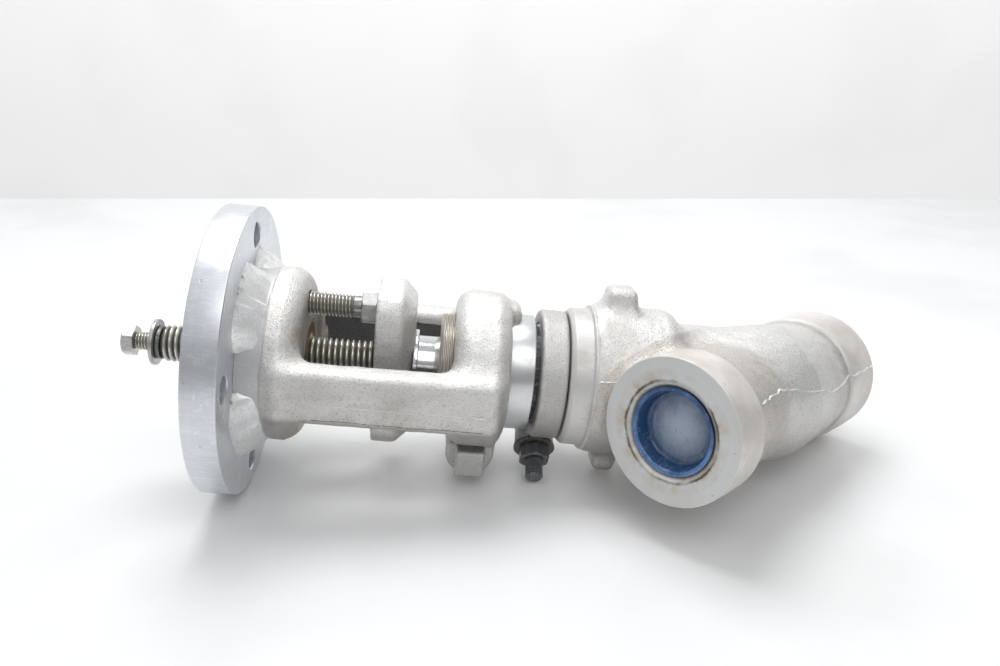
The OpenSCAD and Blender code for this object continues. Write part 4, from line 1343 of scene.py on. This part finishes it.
def weld_bead(name, start, sweep, material, seed, uneven):
    """One ground fillet weld, swept round the hub, its ends tapered to wedges."""
    steps, rows = 150, 14
    rng = np.random.default_rng(seed)
    facet_at = np.sort(rng.uniform(0, 1, 5))
    facet_tilt = rng.uniform(-0.4, 0.4, 6)
    facet_lift = rng.uniform(-0.3, 0.5, 6)
    share = np.linspace(0, 1, steps + 1)[:, None]
    t = np.linspace(0, 1, rows)[None, :]
    angle = start + share * sweep + 0 * t
    end = np.minimum(share, 1 - share) * sweep * HUB_R
    body = np.clip(end / 9, 0.06, 1) ** 0.6
    blend = 0.02
    lift_at = np.zeros_like(share)
    tilt_at = np.zeros_like(share)
    for k in range(6):
        low = facet_at[k - 1] if k else -1
        high = facet_at[k] if k < 5 else 2
        weight = np.clip((share - low) / blend + 0.5, 0, 1)
        weight = weight * np.clip((high - share) / blend + 0.5, 0, 1)
        lift_at += facet_lift[k] * weight
        tilt_at += facet_tilt[k] * weight
    reach = HUB_R - 0.6 + (WELD_OUT * body + 0.6) * t ** 1.2
    height = Z_HUB + WELD_UP * (0.7 + 0.3 * body) * np.clip(end / 3 + 0.3, 0, 1) * (1 - t) ** 1.2
    bulge = np.sin(math.pi * t)
    at = (reach * angle, 9.0 * t + 0 * angle, seed * 3.0 + 0 * angle)
    lift = bulge * (0.75 + lift_at + tilt_at * (t - 0.5) * 2) * body
    lift = lift + uneven * 0.30 * value_noise(*at, 2.6, 61) * bulge
    lift = lift + uneven * 0.09 * value_noise(*at, 0.9, 62)
    reach, height = reach + 0.7 * lift, np.maximum(height + 0.7 * lift, Z_HUB - 0.3 * (t > 0.9))
    toe = np.maximum(np.abs(t - 0.5) * np.where(t > 0.5, 2, 1.7) + 0 * end, 1 - end / 4)
    root = np.full((steps + 1, 1), HUB_R - 0.6)
    reach = np.hstack([reach, root])
    height = np.hstack([height, np.full((steps + 1, 1), Z_HUB - 0.3)])
    toe = np.hstack([toe, np.ones((steps + 1, 1))])
    angle = np.hstack([angle, angle[:, :1]])
    points = np.stack([reach * np.cos(angle), reach * np.sin(angle), height], -1).reshape(-1, 3)
    n = rows + 1
    faces = []
    for i in range(steps):
        for k in range(n):
            m = (k + 1) % n
            faces.append((i * n + k, (i + 1) * n + k, (i + 1) * n + m, i * n + m))
    faces.append(tuple(range(n)))
    faces.append(tuple(reversed(range(steps * n, steps * n + n))))
    piece = add_piece(name, points, faces, YOKE, material, 30)
    mesh = piece.data
    if len(mesh.vertices) == toe.size:
        mesh.attributes.new("toe", "FLOAT", "POINT").data.foreach_set("value", toe.ravel())
    return piece


weld_metal = weld_material()
WELD_SPANS = ((9, 72, 0.5), (99, 76, 0.5), (180, 65, 0.15), (270, 81, 0.25))
for number, (start, sweep, uneven) in enumerate(WELD_SPANS):
    bead = weld_bead(f"weld_bead_{number + 1}", math.radians(start), math.radians(sweep),
                     weld_metal, number + 2, uneven)
    mount(bead, "flange_welds", "valve", "weld")

# ------------------------------------------------------------------ stem
# A steel stem: a coarse thread in the bushing, dark in its grooves, then a polished
# shank in the packing and a foot that turns in the needle.
STEM_R = 8.0
STEM_PITCH = 2.5
SHANK_R = 7.0
Z_GLAND = Z_WINDOW + 29
GLAND_T = 16.5
Z_THREAD_END = Z_GLAND + GLAND_T - 9.5
stem_low, stem_high = span("stem", VALVE)


def thread_material(name, turn, crest_colour, groove_colour, core, crest):
    """Threaded steel: bright crests, darker toward the root of the thread, and brown blotches of
    dirt.
    """
    material, tree, shader, place = start_material(name, turn)
    parts, radius = polar(tree, place)
    tone = noise(tree, place, 500.0, 5.0, 0.6)
    blotch = blotches(tree, place, 130.0, 0.4, 0.2)
    level = remap(tree, add(tree, radius, mul(tree, tone, 0.0003)),
                  core * MM, crest * MM)
    colour = mix(tree, level, groove_colour, crest_colour)
    colour = tint(tree, colour, blotch, 0.4, (0.30, 0.24, 0.15, 1))
    rough = sub(tree, 0.5, mul(tree, level, 0.22))
    set_shader(tree, shader, Base_Color=colour, Roughness=rough,
               Metallic=remap(tree, level, 0, 1, 0.4, 0.9), Normal=bump(tree, tone, 0.00005))
    return material


stem_thread_steel = thread_material("stem_thread_steel", VALVE, (0.74, 0.72, 0.67, 1),
                                    (0.07, 0.065, 0.045, 1), STEM_R - 1.1, STEM_R - 0.05)
polished = machined("polished_steel", (0.75, 0.76, 0.77, 1), VALVE, rough=0.12, rings=2600.0,
                    ring_depth=0.00001, dirt=0.15, metal=0.97)
stem_thread = threaded_bar("stem_thread", VALVE, stem_thread_steel, STEM_R, 1.35, STEM_PITCH,
                           stem_low, Z_THREAD_END, sides=96, rows_per_turn=14)
shank_outline = [
    (0, Z_THREAD_END - 1), (SHANK_R, Z_THREAD_END - 1), (SHANK_R, stem_high - 5),
    (9.5, stem_high - 5), (9.5, stem_high), (0, stem_high),
]
stem_shank = lathe("stem_shank", eased(shank_outline, 0.4), VALVE, polished, 128)
for piece, slot in ((stem_thread, "stem_steel"), (stem_shank, "polished_steel")):
    mount(piece, "stem", "stem", slot)

# ------------------------------------------------------------------ screw and washers at the end
# A zinc-plated screw in the stem's end holds a plain washer and a split spring washer, which
# hang loose on it.
HEAD_LOW, _ = span("stem_end_screw", VALVE)
END_HEAD_T = 4.9
end_zinc = fixing_steel("end_zinc", (0.50, 0.495, 0.475, 1), VALVE, 0.4, 0.10, 0.28)
end_head = hex_piece("end_screw_head", VALVE, end_zinc, 12, HEAD_LOW, HEAD_LOW + END_HEAD_T,
                     0, (True, False))
end_thread_steel = thread_material("end_thread_steel", VALVE, (0.70, 0.68, 0.62, 1),
                                   (0.10, 0.09, 0.07, 1), 3.35, 3.98)
end_thread = threaded_bar("end_screw_thread", VALVE, end_thread_steel, *M8,
                          HEAD_LOW + END_HEAD_T - 0.2, -4)
for piece in (end_head, end_thread):
    mount(piece, "stem_end_screw", "stem", "zinc")
flat_low, flat_high = span("stem_end_washer", VALVE)
flat_washer = lathe("flat_washer", eased(sleeve(4.4, 10, flat_low, flat_high), 0.3), VALVE,
                    end_zinc, 96)
mount(flat_washer, "stem_end_washer", "end_washers", "zinc")
spring_low, spring_high = span("stem_spring_washer", VALVE)
spring_steel = fixing_steel("spring_steel", (0.20, 0.20, 0.195, 1), VALVE, 0.5, 0.15, 0.4)


def split_ring(name, matrix, material, inner, outer, low, high, rise):
    """A spring washer: a square wire bent to a ring, cut, its ends sprung apart."""
    points, faces = [], []
    gap = math.radians(14)
    steps = 90
    for i in range(steps + 1):
        t = i / steps
        angle = gap / 2 + (2 * math.pi - gap) * t
        shift = rise * (t - 0.5)
        bevel = 0.2
        a, b = low + rise / 2 + shift, high - rise / 2 + shift
        section = [(inner + bevel, a), (outer - bevel, a), (outer, a + bevel), (outer, b - bevel),
                   (outer - bevel, b), (inner + bevel, b), (inner, b - bevel), (inner, a + bevel)]
        points += [(r * math.cos(angle), r * math.sin(angle), z) for r, z in section]
    for i in range(steps):
        for k in range(8):
            m = (k + 1) % 8
            faces.append((i * 8 + k, (i + 1) * 8 + k, (i + 1) * 8 + m, i * 8 + m))
    faces.append(tuple(range(8)))
    faces.append(tuple(reversed(range(steps * 8, steps * 8 + 8))))
    return add_piece(name, points, faces, matrix, material, 30)


spring_washer = split_ring("spring_washer", VALVE, spring_steel, 4.4, 7.2, spring_low,
                           spring_high, 0.5)
mount(spring_washer, "stem_spring_washer", "end_washers", "dark_steel")

# ------------------------------------------------------------------ gland flange
# An oval cast bar that two jack screws push against the follower. It has the yoke's paint, made
# lighter here as painted light.
GLAND_HALF = 37.0
GLAND_HALF_W = 16.0
# Painted light: the yoke's paint in a lighter tone, to light the gland between the arms.
gland_paint_lit = cast_paint("gland_paint_lit", (0.88, 0.875, 0.86, 1), 0.25, 0.37)


def gland_field(x, y, z):
    """Distance to the gland flange, in the yoke's frame."""
    qx, qy = np.abs(x) - (GLAND_HALF - 11), np.abs(y) - (GLAND_HALF_W - 11)
    oval = np.sqrt(np.maximum(qx, 0) ** 2 + np.maximum(qy, 0) ** 2)
    oval = oval + np.minimum(np.maximum(qx, qy), 0) - 11
    plate = blend_max(oval, slab(z, Z_GLAND, Z_GLAND + GLAND_T), 1.4)
    bevel = (oval + (z - (Z_GLAND + GLAND_T)) * 1.1 + 6.2) * 0.67
    solid = blend_max(plate, bevel, 1.5)
    solid = solid + 0.14 * value_noise(x, y, z, 3.4, 41) + 0.06 * value_noise(x, y, z, 1.7, 42)
    hole = np.hypot(x, y) - 8.45
    pilot = np.maximum(np.hypot(np.abs(x) - SCREW_R, y) - 3.1, z - (Z_GLAND + 6))
    return cut_away(solid, hole, pilot)


gland_casting = cast_piece("gland_casting", gland_field, (-39, -18, Z_GLAND - 1),
                           (39, 18, Z_GLAND + GLAND_T + 1), 0.65, YOKE,
                           gland_paint_lit)
mount(gland_casting, "gland_flange", "gland", "cast_paint")

# ------------------------------------------------------------------ gland follower
# A turned and polished sleeve with a thin shoulder, between the gland flange and the packing.
follower_low, follower_high = span("gland_follower", VALVE)
follower = lathe("follower_turned", eased([(7.1, follower_low), (15, follower_low),
                 (15, follower_low + 1.8), (12.5, follower_low + 1.8), (12.5, follower_high),
                 (7.1, follower_high)], 0.4), VALVE, polished, 128)
mount(follower, "gland_follower", "gland", "polished_steel")

# ------------------------------------------------------------------ jack screws
# Two M10 screws, zinc-plated. They are threaded in the upper block, and their hexagons push
# on the gland flange.
HEX_T = 7.0


def jack_screw(side, body, node):
    place = YOKE @ Matrix.Translation((side * SCREW_R, 0, 0))
    steel = thread_material(node + "_thread", place, (0.55, 0.535, 0.49, 1), (0.10, 0.09, 0.07, 1),
                            4.1, 4.97)
    plate = fixing_steel(node + "_hex", (0.30, 0.30, 0.295, 1), place, 0.35, 0.12, 0.3)
    hex_low = Z_GLAND - HEX_T
    thread = threaded_bar(node + "_threaded", place, steel, 5.0, 0.85, 1.5, Z_WINDOW - 11,
                          hex_low - 3, sides=72, rows_per_turn=12)
    neck_outline = [(0, hex_low - 3.4), (4.6, hex_low - 3.4), (4.7, hex_low + 0.5),
                    (0, hex_low + 0.5)]
    neck = lathe(node + "_neck", eased(neck_outline, 0.2), place, plate, 64)
    head = hex_piece(node + "_head", place, plate, 13, hex_low, Z_GLAND, 0)
    pilot = lathe(node + "_pilot", eased(sleeve(0, 3, Z_GLAND - 0.5, Z_GLAND + 5), 0.4), place,
                  plate, 48)
    for piece in (thread, neck, head, pilot):
        mount(piece, node, body, "zinc")


jack_screw(-1, "gland_screw_top", "gland_screw_top")
jack_screw(1, "gland_screw_bottom", "gland_screw_bottom")

# ------------------------------------------------------------------ outlet plug
# A thin blue plastic cup, pushed in the front socket for transport. It is dusty and shines.
CUP_R = SOCKET_R - 0.2
plug_low, plug_high = span("outlet_plug", RUN)
PLUG_WALL = 1.2


def plastic_material():
    """Blue polythene with a painted milky reflection on the cup's floor, a painted highlight on the
    lower side of its lip, dust and finger marks.
    """
    material, tree, shader, place = start_material("blue_plastic", RUN)
    parts, radius = polar(tree, place)
    cloud = noise(tree, place, 55.0, 4.0, 0.6)
    # Painted reflection: a milky pale patch on the cup's floor, brightest at its middle.
    floor_sheen_spread = remap(tree, add(tree, radius, mul(tree, cloud, 0.012)), 0.0205, 0.009)
    on_floor = remap(tree, parts.outputs[2], (plug_low + 2.2) * MM, (plug_low + 1.6) * MM)
    painted_floor_sheen = mul(tree, floor_sheen_spread, on_floor)
    dust = blotches(tree, place, 330.0, 0.22, 0.08)
    wipe = scratches(tree, place, 24.0, (1.0, 4.0, 1.0))
    # Painted highlight: the lip turns a lighter blue toward the ground side.
    rim = mul(tree, remap(tree, parts.outputs[2], (plug_high - 0.9) * MM, (plug_high - 0.3) * MM),
                remap(tree, add(tree, cloud, mul(tree, parts.outputs[0], 9.0)), 0.40, 0.62))
    colour = mix(tree, mul(tree, painted_floor_sheen, 0.9), (0.018, 0.065, 0.17, 1), (0.44, 0.51, 0.60, 1))
    colour = tint(tree, colour, rim, 0.8, (0.12, 0.25, 0.52, 1))
    colour = tint(tree, colour, wipe, 0.15, (0.45, 0.50, 0.60, 1))
    colour = mix(tree, mul(tree, mul(tree, dust, painted_floor_sheen), 0.7), colour,
                 (0.07, 0.11, 0.20, 1))
    rough = remap(tree, painted_floor_sheen, 0, 1, 0.16, 0.36)
    set_shader(tree, shader, Base_Color=colour, Roughness=rough, Metallic=0.0,
               Normal=bump(tree, cloud, 0.0008))
    return material


floor_z = plug_low + PLUG_WALL
INNER_R = CUP_R - PLUG_WALL
cup_outline = [
    (0, plug_low), (CUP_R, plug_low), (CUP_R, plug_high - 2.0), (CUP_R + 1.1, plug_high - 0.5),
    (CUP_R + 0.9, plug_high), (CUP_R - 0.3, plug_high), (INNER_R, plug_high - 0.9),
    (INNER_R - 0.5, floor_z + 1.2), (INNER_R - 1.4, floor_z + 0.3), (INNER_R - 3.2, floor_z + 0.35),
    (INNER_R - 4.0, floor_z), (0, floor_z + 0.25),
]
cup = lathe("plug_cup", eased(cup_outline, 0.45), RUN, plastic_material(), 160)
mount(cup, "outlet_plug", "outlet_plug", "blue_plastic")

# ------------------------------------------------------------------ hidden pieces
# The seat, needle, packing and gasket keep the CAD's shape. Each takes its own finish.


def finish_node(node, material):
    mesh = frame["nodes"][node].data
    mesh.materials.clear()
    mesh.materials.append(material)


def graphite_material():
    """Braided graphite packing: a woven pattern, black with a silky shine."""
    material, tree, shader, place = start_material("graphite", VALVE)
    weave = put(tree, "ShaderNodeTexWave", {"bands_direction": "DIAGONAL"}, Vector=place,
                Scale=140.0, Distortion=3.0, Detail=2.0).outputs["Fac"]
    colour = mix(tree, weave, (0.02, 0.02, 0.022, 1), (0.10, 0.10, 0.105, 1))
    set_shader(tree, shader, Base_Color=colour, Roughness=0.45, Metallic=0.2,
               Normal=bump(tree, weave, 0.0002))
    return material


seat_alloy = machined("seat_alloy", (0.62, 0.60, 0.56, 1), VALVE, rough=0.18, rings=2200.0,
                      dirt=0.15)
graphite = graphite_material()
finish_node("seat_ring", seat_alloy)
for node in ("needle", "needle_retainer", "packing_spacer"):
    finish_node(node, polished)
for node in ("bonnet_gasket", "packing_rings"):
    finish_node(node, graphite)
